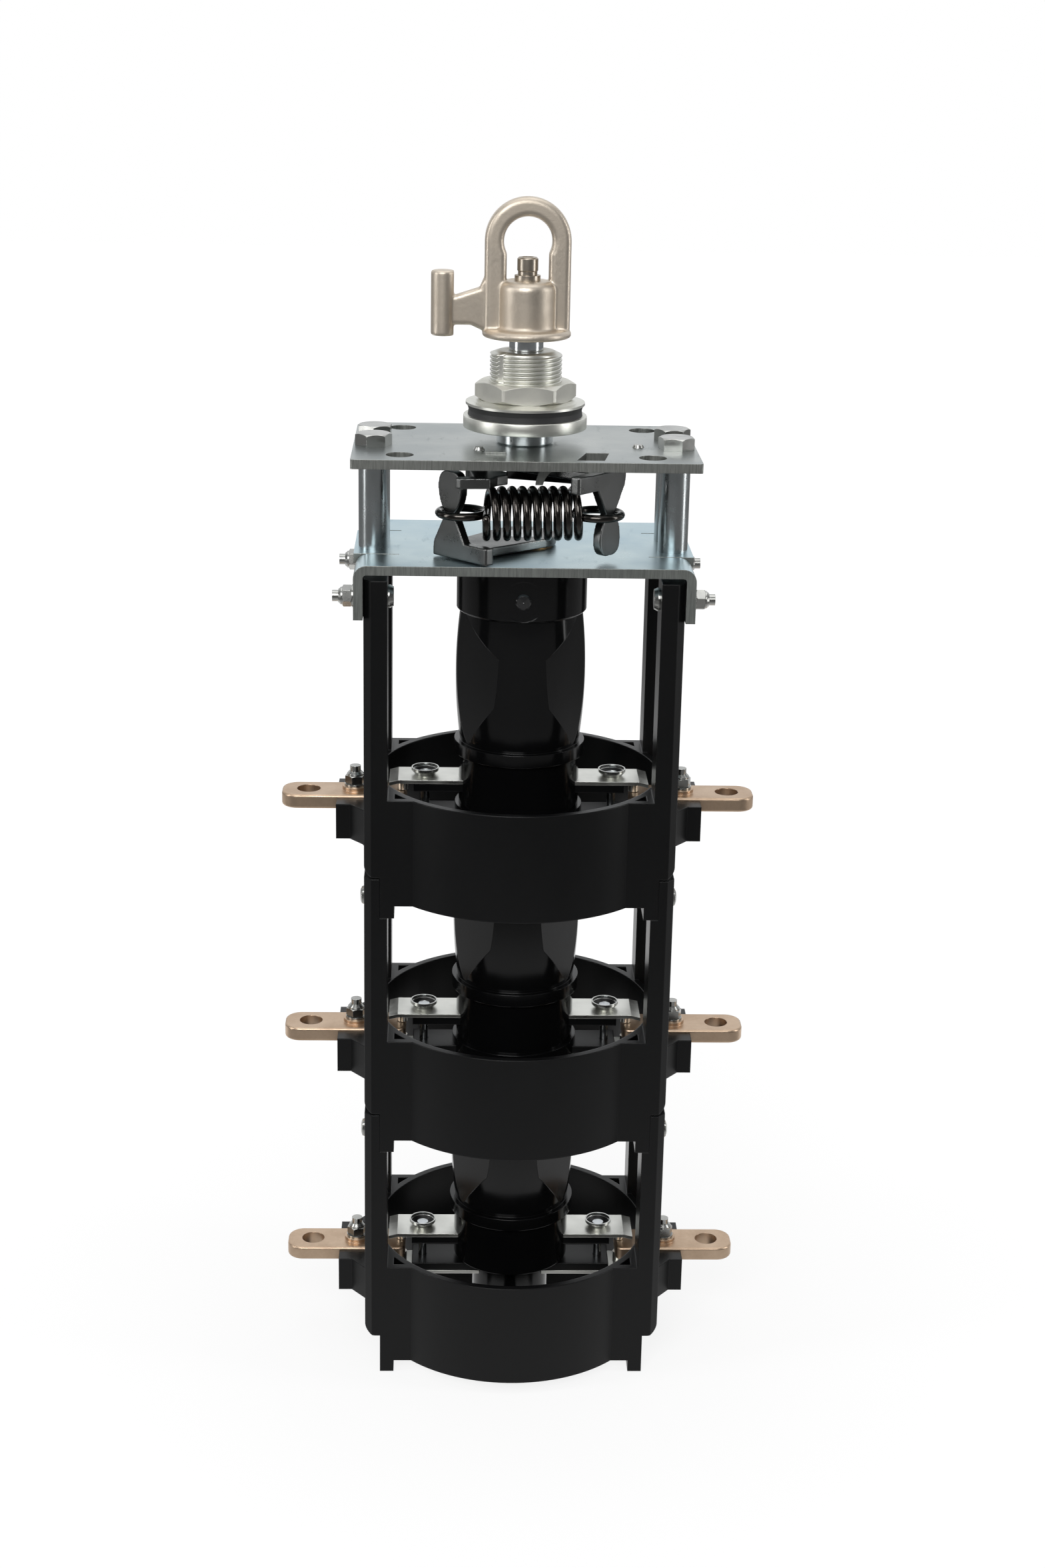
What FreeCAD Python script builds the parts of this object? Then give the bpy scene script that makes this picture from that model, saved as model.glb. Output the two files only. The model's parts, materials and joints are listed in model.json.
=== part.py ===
"""Three-phase oil-immersed rotary switch disconnector, modelled piece by piece.

Frame: millimetres, +Z up along the operating shaft, X across the terminals, Y
from front to rear. The origin lies under the shaft axis, on the plane of the
four legs of the lowest deck. The switch is drawn closed.
"""
import FreeCAD, Part
import math
import os

from FreeCAD import Placement, Rotation, Vector

OUT_DIR = "parts"
X_AXIS = Vector(1, 0, 0)
Y_AXIS = Vector(0, 1, 0)
Z_AXIS = Vector(0, 0, 1)
FAR = 400.0                    # half length of a cutting tool that runs right through

# Clearances
FIT = 0.05                     # radial play of a shaft in its bore
SEAT = 0.1                     # play of a piece laid in a pocket
CONTACT_GAP = 0.3              # play between a moving contact and its terminal

# Decks: one moulded frame per phase, stacked
DECK_COUNT = 3
DECK_PITCH = 140.0             # from one deck's feet to the next one's
LEG_HEIGHT = 7.0               # feet below the arc ring
RING_HEIGHT = 60.0
RING_RADIUS = 81.0             # outside of the arc ring
RING_WALL = 3.9
FRAME_INSET = 24.0             # front faces of the corner posts, behind the ring's front
SHOULDER_WALL = 4.0
POST_PROUD = 3.0               # outer faces of the posts, beyond the ring's side
POST_WIDTH = 12.6
POST_LENGTH = 24.0             # along Y
POST_CHAMFER = 4.0
POST_FOOT = 23.2               # where the outer half of a post stops above the feet
POST_FOOT_RADIUS = 6.0
LEG_STEP = 8.6                 # leg set in from the post's outer face
LEG_WIDTH = 7.8
JOINT_GAP = 0.8                # between a post's top and the foot of the post above
TOP_POST_EXTRA = 47.0          # posts of the top deck rise this far above the pitch
BRACKET_GAP = 3.0              # top deck's posts stop below the bracket

# Terminals and what carries them
TERMINAL_TOP = 55.0            # above the deck's feet
TERMINAL_THICK = 8.0
TERMINAL_WIDTH = 24.2
TERMINAL_TONGUE = 19.0         # from the ring's outside inwards
TERMINAL_PROUD = 50.0          # from the ring's outside outwards
TERMINAL_CORNER = 9.0
TERMINAL_INNER_CORNER = 4.0
TERMINAL_EDGE = 1.4
TERMINAL_HOLE_END = 14.7       # hole's centre from the terminal's outer end
TERMINAL_HOLE_RADIUS = 6.5
TERMINAL_BOLT_OUT = 9.5        # stud's centre beyond the ring's outside
TERMINAL_BOSS_RADIUS = 7.2
TERMINAL_BOSS_HEIGHT = 2.3
BLOCK_PROUD = 19.4             # moulded block under each terminal, beyond the ring
BLOCK_HALF_OUTER = 22.5
BLOCK_LAP = 0.5                # block's root into the posts
BLOCK_BELOW_TOP = 1.6          # cheeks stop this far under the terminal's top face
BLOCK_HEIGHT = 20.0
GUSSET_INSET = 7.6             # gusset's end behind the block's
GUSSET_DROP = 8.5
GUSSET_HALF = 14.0
STUD_HEAD_DROP = 15.0          # moulded-in stud head below the terminal's underside
STUD_HEAD_HEIGHT = 4.0
STUD_TIP = 3.2                 # stud end beyond its lock nut

# M6 hardware shared by terminals and bracket
M6_RADIUS = 3.0
M6_HOLE_RADIUS = 3.3
M6_FLATS = 10.0
M6_WASHER_RADIUS = 6.0
M6_WASHER_THICK = 1.2
M6_NUT_HEIGHT = 7.0
M6_COLLAR_HEIGHT = 2.2         # rounded nylon-ring end of the lock nut
BOLT_HEAD_RADIUS = 6.2
BOLT_HEAD_THICK = 3.0
POST_SCREW_INSET = 15.0        # screws behind the posts' front faces
BRACKET_BOLT_DROP = 19.5       # below the bracket's top face
JOINT_SCREW_Z = 8.0            # above the upper deck's feet
JOINT_HEAD_RADIUS = 5.3
JOINT_HEAD_THICK = 2.2
JOINT_SCREW_RADIUS = 2.5
JOINT_SCREW_WALL = 1.9         # left of the leg behind a screw's end

# Rotor, heights above its deck's feet
PLUG_RADIUS = 22.0
TUBE_RADIUS = 33.2
TUBE_BOTTOM = 49.0
FLANGE_BOTTOM = 79.0
FLANGE_TOP = 86.0
FLANGE_RADIUS = 35.8
BARREL_FOOT_RADIUS = 32.9
BARREL_BELLY_RADIUS = 35.4
BARREL_BELLY = 127.0
BARREL_TOP_RADIUS = 33.3
BARREL_TOP = 159.4
SPIGOT_HEIGHT = 3.6
ROTOR_BORE_RADIUS = 15.0
ROTOR_BORE_FLOOR = 95.0
COLLAR_RADIUS = 35.3
COLLAR_EDGE = 1.2
PLUG_GAP = 0.6                 # between a plug's end and the spigot below it
PIN_Z = 171.0
PIN_RADIUS = 3.0
PIN_HEAD_RADIUS = 4.4
PIN_HEAD_RISE = 0.9
PIN_RECESS_RADIUS = 11.0
PIN_RECESS_DEPTH = 0.8
FACET_HIGH_ANGLE = 80.0        # slanted flat on the barrel, angles from the front
FACET_LOW_ANGLES = (43.0, 59.0)
FACET_TOP = 124.0
JOURNAL_RADIUS = 10.0
JOURNAL_SINK = 12.0            # journal pressed into the lowest plug
WEB_THICK = 8.0
WEB_HALF_WIDTH = 15.0
WEB_BOSS_RADIUS = 20.0
BUSH_WALL = 3.0
BUSH_FLANGE = 0.6
BUSH_FLANGE_RADIUS = 16.0
JOURNAL_DROP = 1.0             # bush and journal end above the web's underside

# Moving contacts
STRIP_TOP = 64.0
STRIP_THICK = 2.0
STRIP_WIDTH = 24.0
STRIP_LAP = 9.6                # strip's tip over the terminal's inner end
STRIP_TIP = 5.0                # bent-down tip
STRIP_DROOP = 1.3
BUTTON_LAP = 2.2               # contact button from the terminal's inner end
BUTTON_RADIUS = 3.0
BACKER_THICK = 4.5
BACKER_GAP = 4.0               # backer's end to the terminal
BACKER_WIDTH = 23.0
CONTACT_PIN_INSET = 6.2        # from the backer's end
CONTACT_PIN_RADIUS = 2.4
CONTACT_HEAD_RADIUS = 3.2
CUP_HEIGHT = 4.2
CUP_FOOT_RADIUS = 5.4
CUP_RIM_RADIUS = 7.6
CUP_WALL = 0.7

# Mechanism frame
BRACKET_THICK = 5.0
BRACKET_LIP = 0.8              # middle of the bracket beyond the tabs' outer faces
TAB_CLEAR = 0.2                # between a post and the tab bolted on it
TAB_HEIGHT = 29.0              # from the top face down
BEND_RADIUS = 2.0              # inside the bend
SLIT_LENGTH = 24.0
TAB_ROOT = 6.0                 # flat part of a tab's section
SLIT_Y = 28.3
SLIT_WIDTH = 1.2
COLUMN_LENGTH = 50.0
COLUMN_RADIUS = 8.0
COLUMN_INSET = 10.2            # from the bracket's side
COLUMN_Y = 13.0
COLUMN_BORE = 5.3
M10_RADIUS = 5.0
M10_FLATS = 17.0
M10_HEAD = 6.4
M10_NUT = 8.0
M10_TIP = 2.0
HEAD_ANGLES = {(-1, -1): 9.7, (1, -1): 44.2, (-1, 1): 27.0, (1, 1): 2.0}
PLATE_THICK = 5.0
PLATE_PROUD = 0.5              # plate beyond the bracket, at each side
PLATE_SETBACK = 2.0            # plate's front edge behind the bracket's
PLATE_REAR_CORNER = 9.0
PLATE_FRONT_CORNER = 1.5
MOUNT_HOLE_INSET = (25.0, 15.0)
MOUNT_HOLE_RADIUS = 7.25
WINDOW_FRONT = (25.5, 40.0)
WINDOW_REAR = (31.5, 43.5)
WINDOW_Y = (-49.5, -28.0)
PIVOT_X = -24.4
PIVOT_Y = -22.8
RIVET_RADIUS = 2.4
RIVET_HEAD_RADIUS = 3.2
RIVET_HEAD_RISE = 1.6
RIVET_KEEPER = 0.8             # closed head under the pawl
STOP_RIVET = (59.8, -10.8)
LUG_X = (-21.5, -10.3)         # half-sheared lug on the plate
LUG_Y = (-37.0, -32.0)
LUG_RISE = 1.4
FINGER_X = (5.0, 15.0)         # stop finger bent down from the plate
FINGER_Y = -38.0
FINGER_THICK = 3.0
FINGER_DROP = 10.4
FINGER_ROOT = 6.0              # width where it leaves the plate
FINGER_TIP = 3.8               # width at its end
FINGER_SINK = 0.5              # root inside the plate
FINGER_CURL = (4.6, 2.1)       # middle of the curl above its end, and its hollow below the plate

# Hub, seal stack and handle, heights above the top plate or the piece below
NECK_RADIUS = 11.9             # hub's neck above the plate
NECK_END_RADIUS = 10.9         # its end through the plate
NECK_HEIGHT = 8.4
SPACER_RADIUS = 15.0           # bright sleeve between the plate and the hub's flange
SPACER_EDGE = 0.8
HUB_FLANGE_RADIUS = 32.8
HUB_FLANGE_THICK = 6.6
HUB_FLANGE_EDGE = 0.4
GASKET_RADIUS = 30.9
GASKET_WAIST = 0.9             # hollow of its side
GASKET_THICK = 5.7
CUP_WASHER_RADIUS = 31.6
CUP_RAMP = (24.0, 27.0)        # radii where the washer's face rises
CUP_RAMP_SHIFT = 0.5
CUP_EDGE = 0.3
CUP_WASHER_THICK = 1.6
CUP_WASHER_RISE = 2.5
HUB_NUT_FLATS = 47.3
HUB_NUT_CORNER = 0.5           # turned off each corner
HUB_NUT_HEIGHT = 9.7
HUB_NUT_ANGLE = 3.0
THREAD_RADIUS = 19.05
THREAD_RUN = 16.0              # thread above the nut
THREAD_CHAMFER = 4.0
THREAD_PITCH = 2.2
THREAD_DEPTH = 1.15
KEYWAY_X = -14.5
KEYWAY_WIDTH = 5.0
KEYWAY_DEPTH = 1.6
SEAL_DEPTH = 2.4
SEAL_THICK = 3.0
SEAL_HEIGHTS = (9.0, 20.0)     # oil seals above the hub flange's underside
NECK_BELOW = 2.0               # neck's end below the plate
SNAP_RING_RADIUS = 14.0
SNAP_RING_THICK = 1.5
SNAP_GROOVE = 0.6
SHAFT_RADIUS = 9.0
HANDLE_GAP = 6.9               # between the hub's end and the handle's skirt
SHAFT_IN_HANDLE = 20.0
SKIRT_RADIUS = 23.3
SKIRT_HEIGHT = 4.3
BELL_RADIUS = 15.6
BELL_HEIGHT = 29.2             # skirt underside to bell top
BELL_SHOULDER = 4.5
SKIRT_COVE = 1.6
ARCH_RADIUS = 22.5
ARCH_CENTRE = 49.4             # eye centre above the skirt's underside
ARCH_THICK = 11.0
ARCH_EDGE = 3.0
EYE_RADIUS = 12.6
EYE_SLOT_HALF = 11.0
EYE_SLOT_DEPTH = 6.0           # slot's floor below the bell's top
ARCH_LOW = 1.2                 # arch's feet above the skirt's underside
T_BAR_X = -43.9
T_BAR_RADIUS = 6.4
T_BAR_FLAT = 5.6               # flat side of the bar towards the arm
T_BAR_LOW = 0.2
T_BAR_HEIGHT = 33.7
T_BAR_EDGE = 0.9
ARM_THICK = 8.5
ARM_LOW = 6.0                  # arm's lower edge, above the skirt's underside
ARM_HIGH_OUTER = 19.8
ARM_HIGH_INNER = 25.4
ARM_EDGE = 2.0
ARM_LAP = 2.0                  # arm's end inside the T-bar, past its axis
ARM_ROOT = 4.0                 # arm's root inside the arch
ARM_BLEND = 7.0                # length of the flare before the arch
ARM_FLARE_LOW = (2.6, 3.4)     # drop of the lower edge at the arch and in it
ARM_FLARE_HIGH = (6.0, 8.0)    # rise of the upper edge there
ARM_FLARE_STEP = (1.2, 0.2, 2.4)
CAP_SCREW_RADIUS = 5.5
CAP_SCREW_HEIGHT = 9.2
CAP_WASHER_RADIUS = 6.8
CAP_WASHER_THICK = 2.8
CAP_SHANK_RADIUS = 4.0
CAP_SHANK_DEPTH = 16.0
CAP_NECK_RADIUS = 5.1
CAP_NECK_HEIGHT = 2.0
CAP_DIMPLE_RADIUS = 3.0
CAP_DIMPLE_DEPTH = 0.6

# Snap mechanism between the plates
CRANK_THICK = 5.0
HUB_TANGENT = 80.0             # where the arm's sides leave the round hub
ARM_HUB_RADIUS = 18.0
LEG_THICK = 5.0
ROOT_HALF = 12.0
ROOT_TOP_HALF = 9.0
TIP_HALF = 8.3
WAIST_HALF = 3.0
ROOT_FLARE = (2.4, 3.0)        # root's rounded shoulder, across and up
TIP_SHOULDER = (2.0, 1.6)      # rounded corner of the leg's tip
WAIST_RISE = 24.0              # from the output arm's underside to the spring's axis
INPUT_ANGLE = -42.0
INPUT_RADIUS = 57.5
OUTPUT_ANGLE = 225.0
OUTPUT_RADIUS = 53.6
INPUT_ARM_DROP = 2.2           # below the plate's underside
OUTPUT_ARM_RISE = 0.7          # above the bracket
LEG_END_GAP = 3.4              # leg tips to the plate that they don't touch
STOP_BLOCK_SPAN = (11.0, 27.0)
STOP_BLOCK_DEPTH = 6.0
STOP_BLOCK_HEIGHT = 9.0
CRANK_PIN_RADIUS = 1.5
TRIP_FROM = (-9.0, -12.0)      # ends of the trip bar, in plan
TRIP_TO = (26.0, -24.0)
TRIP_WIDTH = 4.6
TRIP_HEIGHT = 4.8
PAWL_THICK = 5.5
PAWL_DROP = 4.6                # pawl's top face below the plate
PAWL_BOSS_RADIUS = 7.0
PAWL_COLLAR_RADIUS = 4.6
PAWL_OUTLINE = ((-5.0, -4.0), (-3.0, -23.0), (-11.1, -24.8), (-12.1, -28.2), (-9.6, -30.2),
                (5.4, -29.2), (9.4, -21.2), (14.9, -17.2), (14.9, -10.2), (6.5, -2.0))  # from the pivot
SPRING_RADIUS = 14.4           # outside of the coil
SPRING_WIRE = 2.1              # wire radius
SPRING_TURNS = 9.5
SPRING_PITCH = 5.35
SPRING_CENTRE_X = 3.8
HOOK_RADIUS = 7.5
HOOK_PLAY = 1.2
KNEE_RADIUS = 2.25             # where a hook bends out of the coil
FREE_RUN = 0.78                # share of the way back to the coil that a hook's free end covers

# Derived heights, from the feet up
BARS = range(DECK_COUNT)
FRAME_FRONT = RING_RADIUS - FRAME_INSET
POST_OUTER = RING_RADIUS + POST_PROUD
POST_INNER = POST_OUTER - POST_WIDTH
POST_REAR = FRAME_FRONT - POST_LENGTH
LEG_OUTER = POST_OUTER - LEG_STEP
LEG_INNER = LEG_OUTER - LEG_WIDTH
TERMINAL_INNER = RING_RADIUS - TERMINAL_TONGUE
TERMINAL_OUTER = RING_RADIUS + TERMINAL_PROUD
TERMINAL_HOLE_X = TERMINAL_OUTER - TERMINAL_HOLE_END
TERMINAL_BOLT_X = RING_RADIUS + TERMINAL_BOLT_OUT
BLOCK_OUTER = RING_RADIUS + BLOCK_PROUD
BLOCK_HALF_INNER = POST_REAR + BLOCK_LAP
GUSSET_OUTER = BLOCK_OUTER - GUSSET_INSET
JOINT_SCREW_END = LEG_INNER + JOINT_SCREW_WALL
POST_SCREW_Y = FRAME_FRONT - POST_SCREW_INSET
STRIP_REACH = TERMINAL_INNER + STRIP_LAP
STRIP_BEND = STRIP_REACH - STRIP_TIP
BUTTON_X = TERMINAL_INNER + BUTTON_LAP
BACKER_REACH = TERMINAL_INNER - BACKER_GAP
CONTACT_PIN_X = BACKER_REACH - CONTACT_PIN_INSET
RING_TOP = LEG_HEIGHT + RING_HEIGHT
RING_INNER = RING_RADIUS - RING_WALL
TERMINAL_BOTTOM = TERMINAL_TOP - TERMINAL_THICK
BLOCK_TOP = TERMINAL_TOP - BLOCK_BELOW_TOP
COLLAR_TOP = TUBE_BOTTOM + DECK_PITCH
PLUG_END = BARREL_TOP + SPIGOT_HEIGHT + PLUG_GAP
TOP_BASE = (DECK_COUNT - 1) * DECK_PITCH
POST_TOP = DECK_PITCH + TOP_POST_EXTRA
BRACKET_BOTTOM = TOP_BASE + POST_TOP + BRACKET_GAP
BRACKET_TOP = BRACKET_BOTTOM + BRACKET_THICK
PLATE_BOTTOM = BRACKET_TOP + COLUMN_LENGTH
PLATE_TOP = PLATE_BOTTOM + PLATE_THICK
HUB_BOTTOM = PLATE_TOP + NECK_HEIGHT
FLANGE_FACE = HUB_BOTTOM + HUB_FLANGE_THICK
GASKET_TOP = FLANGE_FACE + GASKET_THICK
NUT_BOTTOM = GASKET_TOP + CUP_WASHER_RISE
NUT_TOP = NUT_BOTTOM + HUB_NUT_HEIGHT
HUB_TOP = NUT_TOP + THREAD_RUN
HANDLE_BOTTOM = HUB_TOP + HANDLE_GAP
BELL_TOP = HANDLE_BOTTOM + BELL_HEIGHT
EYE_Z = HANDLE_BOTTOM + ARCH_CENTRE
TAB_INNER = POST_OUTER + TAB_CLEAR
TAB_OUTER = TAB_INNER + BRACKET_THICK
BRACKET_HALF_X = TAB_OUTER + BRACKET_LIP
BRACKET_HALF_Y = FRAME_FRONT
SLIT_END = BRACKET_HALF_X - SLIT_LENGTH
COLUMN_X = BRACKET_HALF_X - COLUMN_INSET
PLATE_HALF_X = BRACKET_HALF_X + PLATE_PROUD
PLATE_HALF_Y = BRACKET_HALF_Y - PLATE_SETBACK
MOUNT_HOLE_X = PLATE_HALF_X - MOUNT_HOLE_INSET[0]
MOUNT_HOLE_Y = PLATE_HALF_Y - MOUNT_HOLE_INSET[1]
BRACKET_BOLT_Z = BRACKET_TOP - BRACKET_BOLT_DROP
INPUT_ARM_BOTTOM = PLATE_BOTTOM - INPUT_ARM_DROP - CRANK_THICK
OUTPUT_ARM_BOTTOM = BRACKET_TOP + OUTPUT_ARM_RISE
SPRING_Z = OUTPUT_ARM_BOTTOM + WAIST_RISE
STRIP_BOTTOM = STRIP_TOP - STRIP_THICK
MIRROR_Z = TERMINAL_TOP - 0.5 * TERMINAL_THICK
SIDES = (-1, 1)
CORNERS = [(sx, sy) for sx in SIDES for sy in SIDES]


# Small tools
def point(x, y, z=0.0):
    return Vector(x, y, z)


def cylinder(radius, z0, z1, x=0.0, y=0.0):
    """Upright cylinder between two heights."""
    return Part.makeCylinder(radius, z1 - z0, point(x, y, z0))


def box(x0, x1, y0, y1, z0, z1):
    """Box between three pairs of limits."""
    return Part.makeBox(x1 - x0, y1 - y0, z1 - z0, point(x0, y0, z0))


def ring(outer, inner, z0, z1, x=0.0, y=0.0):
    """Upright tube between two heights."""
    return cylinder(outer, z0, z1, x, y).cut(cylinder(inner, z0 - 1, z1 + 1, x, y))


def turned(shape, degrees, axis=Z_AXIS, centre=Vector(0, 0, 0)):
    """Copy of a shape, turned about a line."""
    copy = shape.copy()
    copy.rotate(centre, axis, degrees)
    return copy


def moved(shape, x=0.0, y=0.0, z=0.0):
    """Copy of a shape, shifted."""
    copy = shape.copy()
    copy.translate(Vector(x, y, z))
    return copy


def polygon_wire(points):
    return Part.makePolygon(list(points) + [points[0]])


def prism(points, vector):
    """Solid swept by a closed polygon along a vector."""
    return Part.Face(polygon_wire(points)).extrude(vector)


def revolve(profile):
    """Solid of revolution about Z, from (radius, height) corners."""
    face = Part.Face(polygon_wire([point(r, 0, z) for r, z in profile]))
    return face.revolve(Vector(0, 0, 0), Z_AXIS, 360)


def hexagon(flats, z0, z1, x=0.0, y=0.0, angle=0.0):
    """Upright hexagonal prism, by its width across flats."""
    radius = flats / math.sqrt(3.0)
    corners = []
    for step in range(6):
        turn = math.radians(angle + 60 * step)
        corners.append(point(x + radius * math.cos(turn), y + radius * math.sin(turn), z0))
    return prism(corners, Vector(0, 0, z1 - z0))


def chamfered_hexagon(flats, z0, z1, angle=0.0, low=True, high=True):
    """Hexagonal prism whose corners are turned off at 30 degrees, on the axis."""
    inner = 0.5 * flats
    outer = flats / math.sqrt(3.0) + 0.5
    slope = math.tan(math.radians(30))
    step = (outer - inner) * slope
    profile = [(0, z0)]
    profile += [(inner, z0), (outer, z0 + step)] if low else [(outer, z0)]
    profile += [(outer, z1 - step), (inner, z1)] if high else [(outer, z1)]
    profile += [(0, z1)]
    return hexagon(flats, z0, z1, angle=angle).common(revolve(profile))


def along_x(shape, side, x, y, z):
    """Place a piece built on +Z so that it points away from the axis on X."""
    laid = turned(shape, 90 * side, Y_AXIS)
    return moved(laid, x * side, y, z)


def mirrored(shape, normal):
    return shape.mirror(Vector(0, 0, 0), normal)


def four_ways(shape):
    """A shape and its mirror images at the other three corners."""
    across = mirrored(shape, X_AXIS)
    return [shape, across, mirrored(shape, Y_AXIS), mirrored(across, Y_AXIS)]


def fillet(shape, radius, wanted):
    """Round the edges that a test picks."""
    edges = [edge for edge in shape.Edges if wanted(edge)]
    return shape.makeFillet(radius, edges)


def is_vertical(edge):
    if len(edge.Vertexes) < 2:
        return False
    a, b = edge.Vertexes[0].Point, edge.Vertexes[-1].Point
    return abs(a.x - b.x) < 1e-6 and abs(a.y - b.y) < 1e-6


def fuse(shapes):
    """One clean solid from several that meet."""
    first = shapes[0]
    joined = first.fuse(list(shapes[1:])) if len(shapes) > 1 else first
    return joined.removeSplitter()


def cut_all(shape, tools):
    return shape.cut(list(tools)) if tools else shape


def group(shapes):
    return Part.makeCompound(list(shapes))


def save(name, shape):
    """Write one named node."""
    shape.exportStep(os.path.join(OUT_DIR, name + ".step"))


# Fasteners
def lock_nut():
    """M6 nut with a rounded nylon-ring end, standing on z = 0."""
    body_top = M6_NUT_HEIGHT - M6_COLLAR_HEIGHT
    body = chamfered_hexagon(M6_FLATS, 0, body_top, angle=12)
    crown_radius = 0.5 * M6_FLATS - 0.3
    crown = revolve([(0, 0), (crown_radius, 0), (crown_radius, body_top + 0.8),
                     (crown_radius - 1.2, M6_NUT_HEIGHT), (0, M6_NUT_HEIGHT)])
    nut = body.fuse(crown)
    return nut.cut(cylinder(M6_RADIUS, -1, M6_NUT_HEIGHT + 1))


def flat_washer():
    return ring(M6_WASHER_RADIUS, M6_HOLE_RADIUS, 0, M6_WASHER_THICK)


def stud_top_stack(seat):
    """Height of the end of a stud above the face that its washer sits on."""
    return seat + M6_WASHER_THICK + M6_NUT_HEIGHT + STUD_TIP


def hex_bolt(head_angle, grip_low, head_seat):
    """Column bolt: hex head on the plate, shank down through the column."""
    head = moved(chamfered_hexagon(M10_FLATS, 0, M10_HEAD, head_angle, low=False), z=head_seat)
    shank = cylinder(M10_RADIUS, grip_low, head_seat)
    return head.fuse(shank)


# Deck frame
def post_profile(base, top, lap):
    """Side view of a corner post on the +X side, with its foot and lap joint."""
    arc_mid = POST_OUTER - POST_FOOT_RADIUS * (1 - math.sqrt(0.5))
    arc_mid_z = POST_FOOT + POST_FOOT_RADIUS * (1 - math.sqrt(0.5))
    head_inner = LEG_OUTER + SEAT if lap else POST_INNER
    shape = [(LEG_INNER, RING_TOP), (LEG_INNER, 0.0), (LEG_OUTER, 0.0), (LEG_OUTER, POST_FOOT),
             (POST_OUTER - POST_FOOT_RADIUS, POST_FOOT)]
    after = [(POST_OUTER, POST_FOOT + POST_FOOT_RADIUS), (POST_OUTER, top), (head_inner, top)]
    if lap:
        after += [(head_inner, DECK_PITCH), (POST_INNER, DECK_PITCH)]
    after += [(POST_INNER, RING_TOP), (LEG_INNER, RING_TOP)]
    low = [point(x, 0, base + z) for x, z in shape]
    high = [point(x, 0, base + z) for x, z in after]
    edges = [Part.makeLine(a, b) for a, b in zip(low, low[1:])]
    edges.append(Part.Arc(low[-1], point(arc_mid, 0, base + arc_mid_z), high[0]).toShape())
    edges += [Part.makeLine(a, b) for a, b in zip(high, high[1:])]
    return Part.Face(Part.Wire(edges))


def corner_post(base, top, lap):
    """Corner post on +X and -Y, chamfered along its outer front edge."""
    face = post_profile(base, top, lap)
    face.translate(Vector(0, -FRAME_FRONT, 0))
    post = face.extrude(Vector(0, FRAME_FRONT - POST_REAR, 0))
    corner = [point(POST_OUTER + 1, -FRAME_FRONT - 1, base - 1),
              point(POST_OUTER - POST_CHAMFER - 1, -FRAME_FRONT - 1, base - 1),
              point(POST_OUTER + 1, -FRAME_FRONT + POST_CHAMFER + 1, base - 1)]
    return post.cut(prism(corner, Vector(0, 0, top + 2)))


def shoulder(base):
    """Flat stretch of wall between the arc ring and the front right post."""
    start = math.sqrt(RING_RADIUS ** 2 - FRAME_FRONT ** 2) - 2.0
    return box(start, LEG_INNER + 1, -FRAME_FRONT, -FRAME_FRONT + SHOULDER_WALL,
               base + LEG_HEIGHT, base + RING_TOP)


def terminal_block(base):
    """Moulded block on +X that cradles the terminal, with its gusset."""
    root = RING_INNER + 1.0
    low = base + BLOCK_TOP - BLOCK_HEIGHT
    plan = [point(root, -BLOCK_HALF_INNER, low), point(POST_OUTER, -BLOCK_HALF_INNER, low),
            point(GUSSET_OUTER, -BLOCK_HALF_OUTER, low), point(BLOCK_OUTER, -BLOCK_HALF_OUTER, low),
            point(BLOCK_OUTER, BLOCK_HALF_OUTER, low), point(GUSSET_OUTER, BLOCK_HALF_OUTER, low),
            point(POST_OUTER, BLOCK_HALF_INNER, low), point(root, BLOCK_HALF_INNER, low)]
    body = prism(plan, Vector(0, 0, BLOCK_HEIGHT))
    side = [point(root, -GUSSET_HALF, low + 0.1), point(GUSSET_OUTER, -GUSSET_HALF, low + 0.1),
            point(POST_OUTER, -GUSSET_HALF, low - GUSSET_DROP),
            point(root, -GUSSET_HALF, low - GUSSET_DROP)]
    gusset = prism(side, Vector(0, 2 * GUSSET_HALF, 0))
    return body.fuse(gusset)


def terminal_channel(base):
    """Space for the terminal bar on +X, open to the top of the ring."""
    half = 0.5 * TERMINAL_WIDTH + SEAT
    return box(TERMINAL_INNER - 2, TERMINAL_OUTER, -half, half, base + TERMINAL_BOTTOM, base + RING_TOP + 1)


def terminal_stud(base, side):
    """Stud moulded into the block, head down, through the terminal."""
    head_low = base + TERMINAL_BOTTOM - STUD_HEAD_DROP
    head = hexagon(M6_FLATS, head_low, head_low + STUD_HEAD_HEIGHT, TERMINAL_BOLT_X * side, 0)
    end = base + stud_top_stack(TERMINAL_TOP + TERMINAL_BOSS_HEIGHT)
    shank = cylinder(M6_RADIUS, head_low + STUD_HEAD_HEIGHT, end, TERMINAL_BOLT_X * side, 0)
    return head.fuse(shank)


def joint_screw(base, side, end):
    """Round-headed screw through a lower post into the leg of the deck above."""
    length = POST_OUTER - JOINT_SCREW_END
    dome = revolve([(0, 0), (JOINT_HEAD_RADIUS, 0), (JOINT_HEAD_RADIUS - 0.6, JOINT_HEAD_THICK - 0.7),
                    (JOINT_HEAD_RADIUS - 2.2, JOINT_HEAD_THICK), (0, JOINT_HEAD_THICK)])
    shank = cylinder(JOINT_SCREW_RADIUS, -length, 0)
    screw = dome.fuse(shank)
    return along_x(screw, side, POST_OUTER, end * POST_SCREW_Y, base + JOINT_SCREW_Z)


def screw_hole(base, side, end):
    """Bore for a joint screw, in both decks that it holds."""
    bore = cylinder(JOINT_SCREW_RADIUS, JOINT_SCREW_END, POST_OUTER + 1)
    return along_x(bore, side, 0, end * POST_SCREW_Y, base + JOINT_SCREW_Z)


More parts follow.
